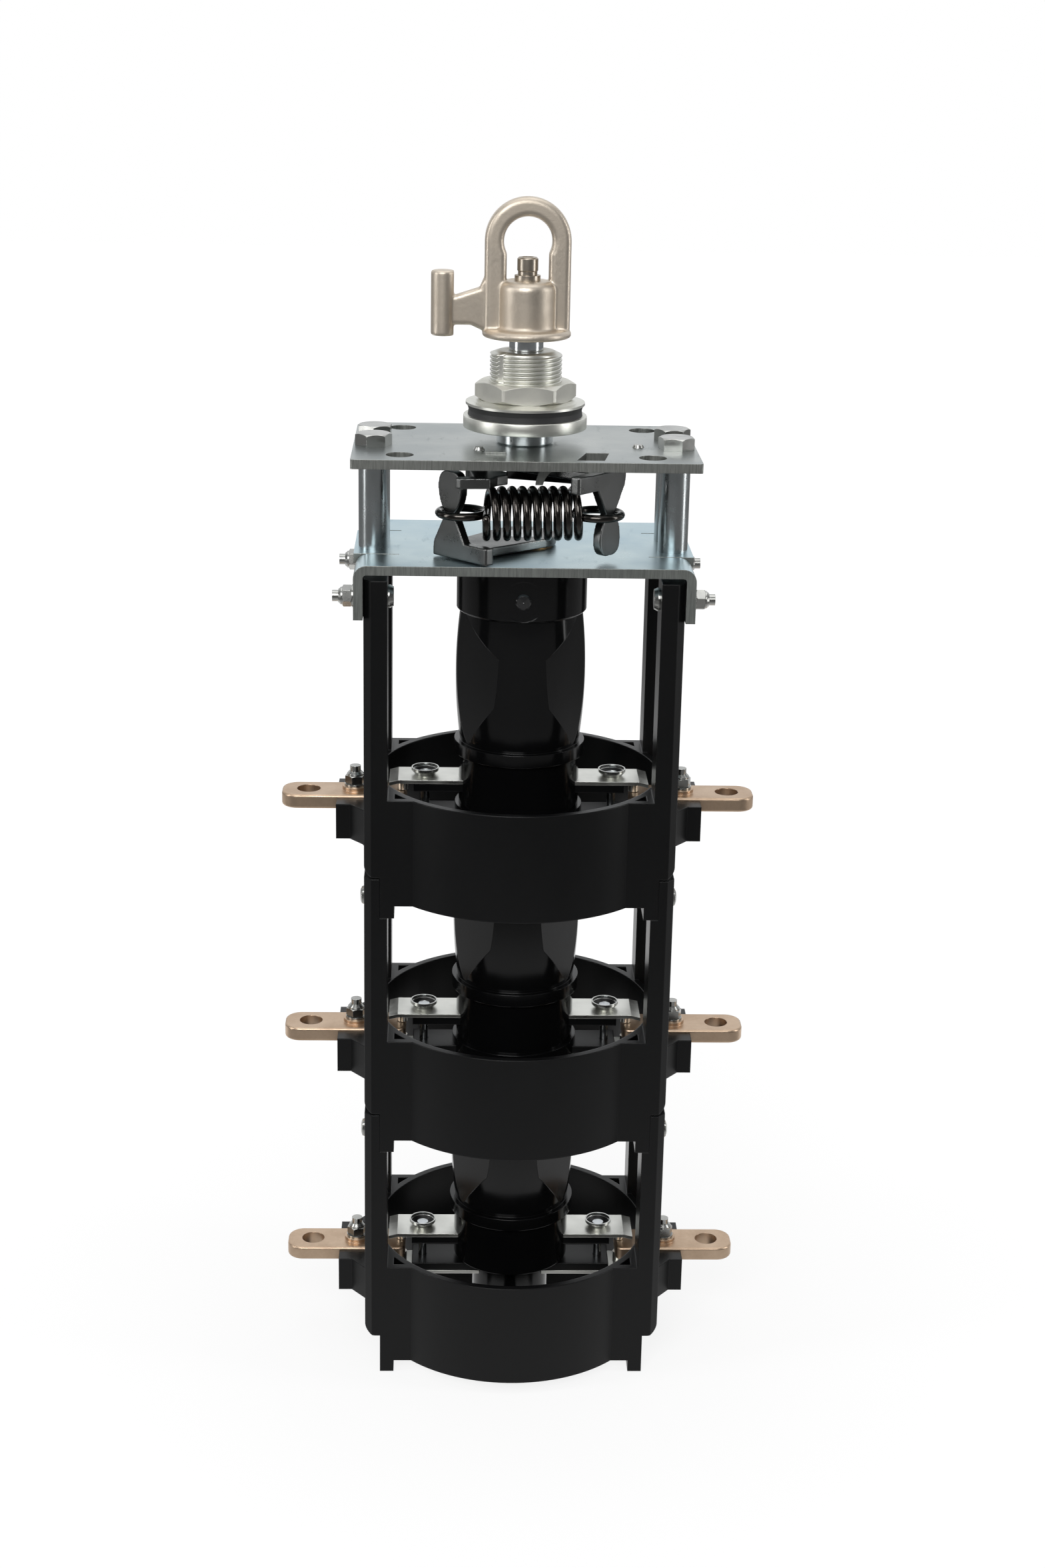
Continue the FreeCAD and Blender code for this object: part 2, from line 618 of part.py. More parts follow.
def bearing_web(base):
    """Cross web in the floor of the lowest deck, with a boss for the journal."""
    low = base + LEG_HEIGHT
    reach = RING_INNER + 1.0
    bar = box(-WEB_HALF_WIDTH, WEB_HALF_WIDTH, -reach, reach, low, low + WEB_THICK)
    bar = bar.common(cylinder(reach, low, low + WEB_THICK))
    boss = cylinder(WEB_BOSS_RADIUS, low, low + WEB_THICK)
    bore = cylinder(JOURNAL_RADIUS + FIT + BUSH_WALL, low - 1, low + WEB_THICK + 1)
    return bar.fuse(boss).cut(bore)


def deck_frame(index):
    """One moulded frame: arc ring, four posts, shoulders and terminal blocks."""
    base = index * DECK_PITCH
    is_top = index == DECK_COUNT - 1
    top = POST_TOP if is_top else DECK_PITCH + POST_FOOT - JOINT_GAP
    pieces = [ring(RING_RADIUS, RING_INNER, base + LEG_HEIGHT, base + RING_TOP)]
    post = corner_post(base, top, not is_top)
    wall = shoulder(base)
    pieces += four_ways(post) + four_ways(wall)
    block = terminal_block(base)
    pieces += [block, mirrored(block, X_AXIS)]
    frame = fuse(pieces)
    channel = terminal_channel(base)
    tools = [cylinder(RING_INNER, base - 1, base + RING_TOP + 1), channel, mirrored(channel, X_AXIS)]
    tools += [terminal_stud(base, side) for side in SIDES]
    for side, end in CORNERS:
        if index > 0:
            tools.append(screw_hole(base, side, end))
        if not is_top:
            tools.append(screw_hole(base + DECK_PITCH, side, end))
        else:
            hole = cylinder(M6_HOLE_RADIUS, POST_INNER - 5, POST_OUTER + 1)
            tools.append(along_x(hole, side, 0, end * POST_SCREW_Y, BRACKET_BOLT_Z))
    frame = cut_all(frame, tools)
    if index == 0:
        frame = fuse([frame, bearing_web(base)])
    return frame


# Terminals
def terminal(index, side):
    """Forged terminal bar with a connection hole and a raised stud seat."""
    base = index * DECK_PITCH
    half = 0.5 * TERMINAL_WIDTH
    bar = box(TERMINAL_INNER, TERMINAL_OUTER, -half, half, base + TERMINAL_BOTTOM, base + TERMINAL_TOP)
    bar = fillet(bar, TERMINAL_CORNER,
                 lambda e: is_vertical(e) and e.Vertexes[0].Point.x > TERMINAL_OUTER - 1)
    bar = fillet(bar, TERMINAL_INNER_CORNER,
                 lambda e: is_vertical(e) and e.Vertexes[0].Point.x < TERMINAL_INNER + 1)
    bar = fillet(bar, TERMINAL_EDGE, lambda e: not is_vertical(e))
    boss = cylinder(TERMINAL_BOSS_RADIUS, base + TERMINAL_TOP - 1,
                    base + TERMINAL_TOP + TERMINAL_BOSS_HEIGHT, TERMINAL_BOLT_X, 0)
    low, high = base + TERMINAL_BOTTOM - 1, base + TERMINAL_TOP + TERMINAL_BOSS_HEIGHT + 1
    bar = bar.fuse(boss)
    bar = cut_all(bar, [cylinder(TERMINAL_HOLE_RADIUS, low, high, TERMINAL_HOLE_X, 0),
                        cylinder(M6_HOLE_RADIUS, low, high, TERMINAL_BOLT_X, 0)])
    return bar if side > 0 else turned(bar, 180)


# Rotor
def facet_tool(base, sx, sy):
    """Half-space block behind the slanted flat on one quarter of a barrel."""
    def surface_point(angle, radius, height):
        turn = math.radians(angle)
        return Vector(sx * radius * math.sin(turn), -sy * radius * math.cos(turn), base + height)
    high = surface_point(FACET_HIGH_ANGLE, BARREL_BELLY_RADIUS, FACET_TOP)
    low_a = surface_point(FACET_LOW_ANGLES[0], BARREL_FOOT_RADIUS, FLANGE_TOP)
    low_b = surface_point(FACET_LOW_ANGLES[1], BARREL_FOOT_RADIUS, FLANGE_TOP)
    normal = (low_a - high).cross(low_b - high)
    outward = Vector(high.x, high.y, 0)
    if normal.dot(outward) < 0:
        normal = normal * -1.0
    normal.normalize()
    block = Part.makeBox(2 * TUBE_RADIUS, 2 * TUBE_RADIUS, TUBE_RADIUS,
                         Vector(-TUBE_RADIUS, -TUBE_RADIUS, 0))
    block.Placement = Placement(high, Rotation(Z_AXIS, normal))
    limit = box(-FAR, FAR, -FAR, FAR, base + FLANGE_TOP, base + BARREL_TOP)
    return block.common(limit)


def rotor_segment(index):
    """Moulded barrel, flange and contact tube of one phase, with its plug."""
    base = index * DECK_PITCH
    plug_low = base + TUBE_BOTTOM - (COLLAR_TOP - PLUG_END)
    outline = [(0, plug_low), (PLUG_RADIUS, plug_low), (PLUG_RADIUS, base + TUBE_BOTTOM),
               (TUBE_RADIUS, base + TUBE_BOTTOM), (TUBE_RADIUS, base + FLANGE_BOTTOM),
               (FLANGE_RADIUS, base + FLANGE_BOTTOM), (FLANGE_RADIUS, base + FLANGE_TOP),
               (BARREL_FOOT_RADIUS, base + FLANGE_TOP)]
    after = [(BARREL_TOP_RADIUS, base + BARREL_TOP), (PLUG_RADIUS, base + BARREL_TOP),
             (PLUG_RADIUS, base + BARREL_TOP + SPIGOT_HEIGHT), (0, base + BARREL_TOP + SPIGOT_HEIGHT),
             (0, plug_low)]
    first = [point(r, 0, z) for r, z in outline]
    second = [point(r, 0, z) for r, z in after]
    edges = [Part.makeLine(a, b) for a, b in zip(first, first[1:])]
    belly = point(BARREL_BELLY_RADIUS, 0, base + BARREL_BELLY)
    edges.append(Part.Arc(first[-1], belly, second[0]).toShape())
    edges += [Part.makeLine(a, b) for a, b in zip(second, second[1:])]
    segment = Part.Face(Part.Wire(edges)).revolve(Vector(0, 0, 0), Z_AXIS, 360)
    tools = [facet_tool(base, sx, sy) for sx, sy in CORNERS]
    tools.append(cylinder(ROTOR_BORE_RADIUS, base + ROTOR_BORE_FLOOR, base + BARREL_TOP + SPIGOT_HEIGHT + 1))
    tools += contact_slots(base)
    if index > 0:
        tools.append(pin_bore(base - DECK_PITCH))
    else:
        tools.append(cylinder(JOURNAL_RADIUS, plug_low - 1, plug_low + JOURNAL_SINK))
    return segment.cut(tools)


def contact_slots(base):
    """Two slots through the tube for the contact strips and their backers."""
    half = 0.5 * STRIP_WIDTH + SEAT
    upper = box(-FAR, FAR, -half, half, base + STRIP_BOTTOM - BACKER_THICK, base + STRIP_TOP)
    return [upper, flipped(upper, base)]


def flipped(shape, base):
    """Mirror image of a piece across the mid-plane of the terminals."""
    plane = base + MIRROR_Z
    return shape.mirror(Vector(0, 0, plane), Z_AXIS)


def pin_bore(base):
    """Cross bore for the pin that ties a plug to its collar."""
    bore = Part.makeCylinder(PIN_RADIUS, 2 * FLANGE_RADIUS, point(0, -FLANGE_RADIUS, base + PIN_Z), Y_AXIS)
    return bore


def rotor_collar(index):
    """Coupling ring above a barrel, with a round flat at each end of its pin."""
    base = index * DECK_PITCH
    low, high = base + BARREL_TOP, base + COLLAR_TOP
    profile = [(PLUG_RADIUS + FIT, low), (COLLAR_RADIUS - COLLAR_EDGE, low),
               (COLLAR_RADIUS, low + COLLAR_EDGE),
               (COLLAR_RADIUS, high), (PLUG_RADIUS + FIT, high)]
    collar = revolve(profile)
    tools = [pin_bore(base)]
    if index + 1 < DECK_COUNT:
        tools += contact_slots(base + DECK_PITCH)
    for end in SIDES:
        start = point(0, end * (COLLAR_RADIUS - PIN_RECESS_DEPTH), base + PIN_Z)
        tools.append(Part.makeCylinder(PIN_RECESS_RADIUS, 3, start, Y_AXIS * end))
    return collar.cut(tools)


def rotor_pin(index):
    """Cross pin with a button head at the front and rear of its collar."""
    base = index * DECK_PITCH
    seat = COLLAR_RADIUS - PIN_RECESS_DEPTH
    shank = Part.makeCylinder(PIN_RADIUS, 2 * seat, point(0, -seat, base + PIN_Z), Y_AXIS)
    heads = []
    for end in SIDES:
        button = revolve([(0, 0), (PIN_HEAD_RADIUS, 0), (PIN_HEAD_RADIUS - 0.9, PIN_HEAD_RISE),
                          (0, PIN_HEAD_RISE + 0.4)])
        laid = turned(button, -90 * end, X_AXIS)
        heads.append(moved(laid, 0, end * seat, base + PIN_Z))
    return shank.fuse(heads)


def contact_strip(index, lower=False):
    """Silver-faced strip through the rotor, with a contact button near each tip."""
    base = index * DECK_PITCH
    top, low = base + STRIP_TOP, base + STRIP_BOTTOM
    half = 0.5 * STRIP_WIDTH
    side = [(-STRIP_REACH, low - STRIP_DROOP), (-STRIP_BEND, low), (STRIP_BEND, low),
            (STRIP_REACH, low - STRIP_DROOP), (STRIP_REACH, top - STRIP_DROOP), (STRIP_BEND, top),
            (-STRIP_BEND, top), (-STRIP_REACH, top - STRIP_DROOP)]
    strip = prism([point(x, -half, z) for x, z in side], Vector(0, STRIP_WIDTH, 0))
    button_low = base + TERMINAL_TOP + CONTACT_GAP
    buttons = [cylinder(BUTTON_RADIUS, button_low, low + 0.5, BUTTON_X * s, 0) for s in SIDES]
    holes = [cylinder(CONTACT_PIN_RADIUS, low - 1, top + 1, CONTACT_PIN_X * s, 0) for s in SIDES]
    strip = strip.fuse(buttons).cut(holes)
    return flipped(strip, base) if lower else strip


def contact_backers(index):
    """Two stiff insulating bars that back the strips inside the rotor."""
    base = index * DECK_PITCH
    half = 0.5 * BACKER_WIDTH
    low, top = base + STRIP_BOTTOM - BACKER_THICK, base + STRIP_BOTTOM
    bar = box(-BACKER_REACH, BACKER_REACH, -half, half, low, top)
    bar = bar.cut([cylinder(CONTACT_PIN_RADIUS, low - 1, top + 1, CONTACT_PIN_X * s, 0) for s in SIDES])
    return group([bar, flipped(bar, base)])


def contact_pin(base, side):
    """Pin that ties the two strips together, headed inside each spring cup."""
    top = base + STRIP_TOP + CUP_WALL
    low = 2 * (base + MIRROR_Z) - top
    x = CONTACT_PIN_X * side
    shank = cylinder(CONTACT_PIN_RADIUS, low, top, x, 0)
    head = cylinder(CONTACT_HEAD_RADIUS, top, top + 1.4, x, 0)
    return shank.fuse([head, flipped(head, base)])


def spring_cup(base, side):
    """Dished steel cup that presses on a strip, open away from it."""
    low, high = 0.0, CUP_HEIGHT
    bend = CUP_HEIGHT - 1.6
    profile = [(CONTACT_PIN_RADIUS, low), (CUP_FOOT_RADIUS, low), (CUP_RIM_RADIUS, bend),
               (CUP_RIM_RADIUS, high), (CUP_RIM_RADIUS - CUP_WALL, high),
               (CUP_RIM_RADIUS - CUP_WALL, bend + 0.2), (CUP_FOOT_RADIUS - 0.5, low + CUP_WALL),
               (CONTACT_PIN_RADIUS, low + CUP_WALL)]
    return moved(revolve(profile), CONTACT_PIN_X * side, 0, base + STRIP_TOP)


def rotor_shaft():
    """Steel drive plug of the top collar, with its journal through the bracket."""
    plug_low = TOP_BASE + PLUG_END
    plug_top = TOP_BASE + COLLAR_TOP
    top = OUTPUT_ARM_BOTTOM + CRANK_THICK
    plug = cylinder(PLUG_RADIUS, plug_low, plug_top)
    stem = cylinder(JOURNAL_RADIUS, plug_top, top)
    shaft = plug.fuse(stem)
    return shaft.cut([pin_bore(TOP_BASE), crank_pin_bore(OUTPUT_ANGLE, OUTPUT_ARM_BOTTOM)])


def rotor_journal():
    """Steel stub pressed into the lowest plug, turning in the floor bush."""
    plug_low = TUBE_BOTTOM - (COLLAR_TOP - PLUG_END)
    return cylinder(JOURNAL_RADIUS, LEG_HEIGHT + JOURNAL_DROP, plug_low + JOURNAL_SINK)


def bushes():
    """Plain bearings of the rotor: one in the bracket, one in the floor web."""
    outer = JOURNAL_RADIUS + FIT + BUSH_WALL
    top = ring(outer, JOURNAL_RADIUS + FIT, BRACKET_BOTTOM, BRACKET_TOP)
    collar = ring(BUSH_FLANGE_RADIUS, JOURNAL_RADIUS + FIT, BRACKET_TOP, BRACKET_TOP + BUSH_FLANGE)
    low = LEG_HEIGHT
    bottom = ring(outer, JOURNAL_RADIUS + FIT, low, low + WEB_THICK)
    return fuse([top, collar]), bottom


# Mechanism frame
def lower_bracket():
    """Flat bracket with four corner tabs bent down along the posts."""
    low, top = BRACKET_BOTTOM, BRACKET_TOP
    outer_radius = BEND_RADIUS + BRACKET_THICK
    bend_start = TAB_OUTER - outer_radius
    start = SLIT_END - TAB_ROOT
    tab_low = top - TAB_HEIGHT
    mid = math.sqrt(0.5)
    cx, cz = bend_start, top - outer_radius
    corners = [point(start, 0, low), point(start, 0, top), point(bend_start, 0, top),
               point(cx + outer_radius * mid, 0, cz + outer_radius * mid), point(TAB_OUTER, 0, cz),
               point(TAB_OUTER, 0, tab_low), point(TAB_INNER, 0, tab_low), point(TAB_INNER, 0, cz),
               point(cx + BEND_RADIUS * mid, 0, cz + BEND_RADIUS * mid), point(cx, 0, low)]
    edges = [Part.makeLine(corners[0], corners[1]), Part.makeLine(corners[1], corners[2]),
             Part.Arc(corners[2], corners[3], corners[4]).toShape(),
             Part.makeLine(corners[4], corners[5]), Part.makeLine(corners[5], corners[6]),
             Part.makeLine(corners[6], corners[7]),
             Part.Arc(corners[7], corners[8], corners[9]).toShape(),
             Part.makeLine(corners[9], corners[0])]
    face = Part.Face(Part.Wire(edges))
    tab_start = SLIT_Y + SLIT_WIDTH
    face.translate(Vector(0, -BRACKET_HALF_Y, 0))
    tab = face.extrude(Vector(0, BRACKET_HALF_Y - tab_start, 0))
    pieces = [box(-start, start, -BRACKET_HALF_Y, BRACKET_HALF_Y, low, top),
              box(-SLIT_END, SLIT_END, -BRACKET_HALF_Y, BRACKET_HALF_Y, low, top),
              box(-BRACKET_HALF_X, BRACKET_HALF_X, -SLIT_Y, SLIT_Y, low, top)]
    bracket = fuse(pieces + four_ways(tab))
    tools = [cylinder(JOURNAL_RADIUS + FIT + BUSH_WALL, low - 1, top + 1)]
    tools += [cylinder(COLUMN_BORE, low - 1, top + 1, sx * COLUMN_X, sy * COLUMN_Y) for sx, sy in CORNERS]
    for side, end in CORNERS:
        hole = cylinder(M6_HOLE_RADIUS, POST_OUTER - 1, TAB_OUTER + 1)
        tools.append(along_x(hole, side, 0, end * POST_SCREW_Y, BRACKET_BOLT_Z))
    return bracket.cut(tools)


def top_plate():
    """Mounting plate with rounded rear corners, window, lug and stop finger."""
    body = box(-PLATE_HALF_X, PLATE_HALF_X, -PLATE_HALF_Y, PLATE_HALF_Y, PLATE_BOTTOM, PLATE_TOP)
    body = fillet(body, PLATE_REAR_CORNER, lambda e: is_vertical(e) and e.Vertexes[0].Point.y > 0)
    body = fillet(body, PLATE_FRONT_CORNER,
                  lambda e: is_vertical(e) and e.Vertexes[0].Point.y < 1 - PLATE_HALF_Y)
    lug = box(LUG_X[0], LUG_X[1], LUG_Y[0], LUG_Y[1], PLATE_TOP - 1, PLATE_TOP + LUG_RISE)
    body = fuse([body, lug, stop_finger()])
    low, high = PLATE_BOTTOM - 1, PLATE_TOP + 1
    tools = [cylinder(NECK_END_RADIUS, low, high)]
    for sx, sy in CORNERS:
        tools.append(cylinder(MOUNT_HOLE_RADIUS, low, high, sx * MOUNT_HOLE_X, sy * MOUNT_HOLE_Y))
        tools.append(cylinder(COLUMN_BORE, low, high, sx * COLUMN_X, sy * COLUMN_Y))
    window = [point(WINDOW_FRONT[0], WINDOW_Y[0], low), point(WINDOW_FRONT[1], WINDOW_Y[0], low),
              point(WINDOW_REAR[1], WINDOW_Y[1], low), point(WINDOW_REAR[0], WINDOW_Y[1], low)]
    tools.append(prism(window, Vector(0, 0, high - low)))
    tools.append(cylinder(RIVET_RADIUS, low, high, PIVOT_X, PIVOT_Y))
    tools.append(cylinder(RIVET_RADIUS, low, high, STOP_RIVET[0], STOP_RIVET[1]))
    return body.cut(tools)


def stop_finger():
    """Curled finger bent down from the plate, as a profile in XZ swept along Y."""
    x0, x1 = FINGER_X
    top = PLATE_BOTTOM + FINGER_SINK
    low = PLATE_BOTTOM - FINGER_DROP
    outer_start, outer_end = point(x1 - FINGER_ROOT, 0, top), point(x0, 0, low)
    inner_start, inner_end = point(x0 + FINGER_TIP, 0, low), point(x1, 0, PLATE_BOTTOM - FINGER_CURL[1])
    outer_mid = point(x0 + 1.0, 0, low + FINGER_CURL[0])
    inner_mid = point(x0 + FINGER_TIP + 1.8, 0, low + FINGER_CURL[0] - 0.4)
    edges = [Part.makeLine(point(x1, 0, top), outer_start),
             Part.Arc(outer_start, outer_mid, outer_end).toShape(),
             Part.makeLine(outer_end, inner_start),
             Part.Arc(inner_start, inner_mid, inner_end).toShape(),
             Part.makeLine(inner_end, point(x1, 0, top))]
    face = Part.Face(Part.Wire(edges))
    face.translate(Vector(0, FINGER_Y, 0))
    return face.extrude(Vector(0, FINGER_THICK, 0))


def rivets():
    """Pawl pivot and stop rivet, headed on top of the plate."""
    pawl_low = PLATE_BOTTOM - PAWL_DROP - PAWL_THICK
    shapes = []
    for (x, y), low in (((PIVOT_X, PIVOT_Y), pawl_low), (STOP_RIVET, PLATE_BOTTOM)):
        head = revolve([(0, 0), (RIVET_HEAD_RADIUS, 0), (RIVET_HEAD_RADIUS - 0.8, RIVET_HEAD_RISE),
                        (0, RIVET_HEAD_RISE)])
        shank = cylinder(RIVET_RADIUS, low, PLATE_TOP, x, y)
        shapes.append(moved(head, x, y, PLATE_TOP).fuse(shank))
    keeper_low = pawl_low - RIVET_KEEPER
    keeper = cylinder(RIVET_HEAD_RADIUS, keeper_low, pawl_low - FIT, PIVOT_X, PIVOT_Y)
    end = cylinder(RIVET_RADIUS, keeper_low, pawl_low, PIVOT_X, PIVOT_Y)
    shapes[0] = shapes[0].fuse([keeper, end])
    return group(shapes)


def columns():
    """Four zinc-plated spacer columns between bracket and plate."""
    return [ring(COLUMN_RADIUS, COLUMN_BORE, BRACKET_TOP, PLATE_BOTTOM, sx * COLUMN_X, sy * COLUMN_Y)
            for sx, sy in CORNERS]


# Hub and seal stack
def thread_flank():
    """Radii and heights of the thread's crests and roots above the nut, as plain rings."""
    corners = []
    z = NUT_TOP + 1.0
    while z + THREAD_PITCH < HUB_TOP - 1.6:
        corners += [(THREAD_RADIUS, z), (THREAD_RADIUS - THREAD_DEPTH, z + 0.5 * THREAD_PITCH)]
        z += THREAD_PITCH
    return corners + [(THREAD_RADIUS, z)]


def seal_rings():
    """Space of the two oil seals in the hub's bore."""
    inner = SHAFT_RADIUS + FIT
    return [ring(inner + SEAL_DEPTH, inner, HUB_BOTTOM + height, HUB_BOTTOM + height + SEAL_THICK)
            for height in SEAL_HEIGHTS]


def mounting_hub():
    """Threaded hub: flange, neck through the plate and bored tube."""
    neck_low = PLATE_BOTTOM - NECK_BELOW
    groove = PLATE_BOTTOM - SNAP_RING_THICK
    profile = [(SHAFT_RADIUS + FIT, neck_low), (NECK_END_RADIUS, neck_low), (NECK_END_RADIUS, groove),
               (NECK_END_RADIUS - SNAP_GROOVE, groove), (NECK_END_RADIUS - SNAP_GROOVE, PLATE_BOTTOM),
               (NECK_END_RADIUS, PLATE_BOTTOM), (NECK_END_RADIUS, PLATE_TOP), (NECK_RADIUS, PLATE_TOP),
               (NECK_RADIUS, HUB_BOTTOM), (HUB_FLANGE_RADIUS - HUB_FLANGE_EDGE, HUB_BOTTOM),
               (HUB_FLANGE_RADIUS, HUB_BOTTOM + HUB_FLANGE_EDGE),
               (HUB_FLANGE_RADIUS, FLANGE_FACE - HUB_FLANGE_EDGE),
               (HUB_FLANGE_RADIUS - HUB_FLANGE_EDGE, FLANGE_FACE), (THREAD_RADIUS, FLANGE_FACE)]
    profile += thread_flank()
    profile += [(THREAD_RADIUS - THREAD_CHAMFER, HUB_TOP), (SHAFT_RADIUS + FIT, HUB_TOP)]
    hub = revolve(profile)
    half = 0.5 * KEYWAY_WIDTH
    depth_y = -math.sqrt(THREAD_RADIUS ** 2 - KEYWAY_X ** 2) + KEYWAY_DEPTH
    tools = [box(KEYWAY_X - half, KEYWAY_X + half, -FAR, depth_y, NUT_TOP + 0.5, HUB_TOP + 1)]
    return hub.cut(tools + seal_rings())


def cup_washer():
    """Dished washer between gasket and nut: flat rim, raised centre."""
    inner = THREAD_RADIUS + SEAT
    high_ramp, low_ramp = CUP_RAMP
    rim_top = GASKET_TOP + CUP_WASHER_THICK
    profile = [(inner, NUT_BOTTOM - CUP_WASHER_THICK), (high_ramp, NUT_BOTTOM - CUP_WASHER_THICK),
               (low_ramp, GASKET_TOP), (CUP_WASHER_RADIUS, GASKET_TOP),
               (CUP_WASHER_RADIUS, rim_top - CUP_EDGE), (low_ramp + CUP_RAMP_SHIFT, rim_top),
               (high_ramp + CUP_RAMP_SHIFT, NUT_BOTTOM), (inner, NUT_BOTTOM)]
    return revolve(profile)


def tank_gasket():
    """Thick rubber ring, squeezed a little hollow round its side."""
    inner = THREAD_RADIUS + SEAT
    middle = 0.5 * (FLANGE_FACE + GASKET_TOP)
    return revolve([(inner, FLANGE_FACE), (GASKET_RADIUS - 0.5 * GASKET_WAIST, FLANGE_FACE),
                    (GASKET_RADIUS - GASKET_WAIST, middle), (GASKET_RADIUS, GASKET_TOP), (inner, GASKET_TOP)])


def hub_spacer():
    """Bright sleeve round the hub's neck, chamfered where it stands on the plate."""
    inner = NECK_RADIUS + SEAT
    return revolve([(inner, PLATE_TOP), (SPACER_RADIUS - SPACER_EDGE, PLATE_TOP),
                    (SPACER_RADIUS, PLATE_TOP + SPACER_EDGE), (SPACER_RADIUS, HUB_BOTTOM), (inner, HUB_BOTTOM)])


def hub_nut():
    """Large hexagon nut that clamps the gasket."""
    blank = moved(chamfered_hexagon(HUB_NUT_FLATS, 0, HUB_NUT_HEIGHT, HUB_NUT_ANGLE), z=NUT_BOTTOM)
    corner = HUB_NUT_FLATS / math.sqrt(3.0) - HUB_NUT_CORNER
    blank = blank.common(cylinder(corner, NUT_BOTTOM - 1, NUT_TOP + 1))
    return blank.cut(cylinder(THREAD_RADIUS + FIT, NUT_BOTTOM - 1, NUT_TOP + 1))


def snap_ring():
    """Open ring in the neck's groove that holds the hub under the plate."""
    low = PLATE_BOTTOM - SNAP_RING_THICK
    whole = ring(SNAP_RING_RADIUS, NECK_END_RADIUS - SNAP_GROOVE, low, PLATE_BOTTOM)
    return whole.cut(box(-3, 3, 0, SNAP_RING_RADIUS + 1, low - 1, PLATE_BOTTOM + 1))


def operating_shaft():
    """Shaft from the handle through the hub to the input crank."""
    low = INPUT_ARM_BOTTOM
    top = HANDLE_BOTTOM + SHAFT_IN_HANDLE
    shaft = cylinder(SHAFT_RADIUS, low, top)
    tapped = cylinder(CAP_SHANK_RADIUS, BELL_TOP - CAP_SHANK_DEPTH, top + 1)
    return shaft.cut([tapped, crank_pin_bore(INPUT_ANGLE, INPUT_ARM_BOTTOM)])


# Handle
def handle():
    """Cast hookstick handle: bell, skirt, eye arch and T-arm in one casting."""
    bell = handle_bell()
    arch = handle_arch()
    arm = handle_arm()
    casting = fuse([bell, arch, arm, t_bar()])
    shaft_top = HANDLE_BOTTOM + SHAFT_IN_HANDLE
    tools = [cylinder(SHAFT_RADIUS, HANDLE_BOTTOM - 1, shaft_top),
             cylinder(CAP_SHANK_RADIUS, shaft_top - 1, BELL_TOP + 1),
             cylinder(CAP_WASHER_RADIUS + SEAT, BELL_TOP, EYE_Z)]
    return casting.cut(tools)


def handle_bell():
    low, top = HANDLE_BOTTOM, BELL_TOP
    skirt = low + SKIRT_HEIGHT
    mid = BELL_SHOULDER * (1 - math.sqrt(0.5))
    cove = SKIRT_COVE * (1 - math.sqrt(0.5))
    edges = [Part.makeLine(point(0, 0, top), point(0, 0, low)),
             Part.makeLine(point(0, 0, low), point(SKIRT_RADIUS - 1, 0, low)),
             Part.makeLine(point(SKIRT_RADIUS - 1, 0, low), point(SKIRT_RADIUS, 0, low + 1)),
             Part.makeLine(point(SKIRT_RADIUS, 0, low + 1), point(SKIRT_RADIUS, 0, skirt - 1.5)),
             Part.makeLine(point(SKIRT_RADIUS, 0, skirt - 1.5), point(SKIRT_RADIUS - 1.5, 0, skirt)),
             Part.makeLine(point(SKIRT_RADIUS - 1.5, 0, skirt), point(BELL_RADIUS + SKIRT_COVE, 0, skirt)),
             Part.Arc(point(BELL_RADIUS + SKIRT_COVE, 0, skirt), point(BELL_RADIUS + cove, 0, skirt + cove),
                      point(BELL_RADIUS, 0, skirt + SKIRT_COVE)).toShape(),
             Part.makeLine(point(BELL_RADIUS, 0, skirt + SKIRT_COVE),
                           point(BELL_RADIUS, 0, top - BELL_SHOULDER)),
             Part.Arc(point(BELL_RADIUS, 0, top - BELL_SHOULDER), point(BELL_RADIUS - mid, 0, top - mid),
                      point(BELL_RADIUS - BELL_SHOULDER, 0, top)).toShape(),
             Part.makeLine(point(BELL_RADIUS - BELL_SHOULDER, 0, top), point(0, 0, top))]
    return Part.Face(Part.Wire(edges)).revolve(Vector(0, 0, 0), Z_AXIS, 360)


def handle_arch():
    """Flat arch with a keyhole eye, rounded along all its edges."""
    low = HANDLE_BOTTOM + ARCH_LOW
    half = 0.5 * ARCH_THICK
    sides = box(-ARCH_RADIUS, ARCH_RADIUS, -half, half, low, EYE_Z)
    crown = Part.makeCylinder(ARCH_RADIUS, ARCH_THICK, point(0, -half, EYE_Z), Y_AXIS)
    eye = Part.makeCylinder(EYE_RADIUS, ARCH_THICK + 2, point(0, -half - 1, EYE_Z), Y_AXIS)
    slot = box(-EYE_SLOT_HALF, EYE_SLOT_HALF, -half - 1, half + 1, BELL_TOP - EYE_SLOT_DEPTH, EYE_Z)
    arch = fuse([sides, crown]).cut(fuse([eye, slot])).removeSplitter()

    def on_rim(edge):
        ys = [v.Point.y for v in edge.Vertexes]
        zs = [v.Point.z for v in edge.Vertexes]
        flat = abs(abs(ys[0]) - half) < 1e-6 and abs(ys[0] - ys[-1]) < 1e-6
        return flat and max(zs) > BELL_TOP - EYE_SLOT_DEPTH + 0.1
    return fillet(arch, ARCH_EDGE, on_rim)


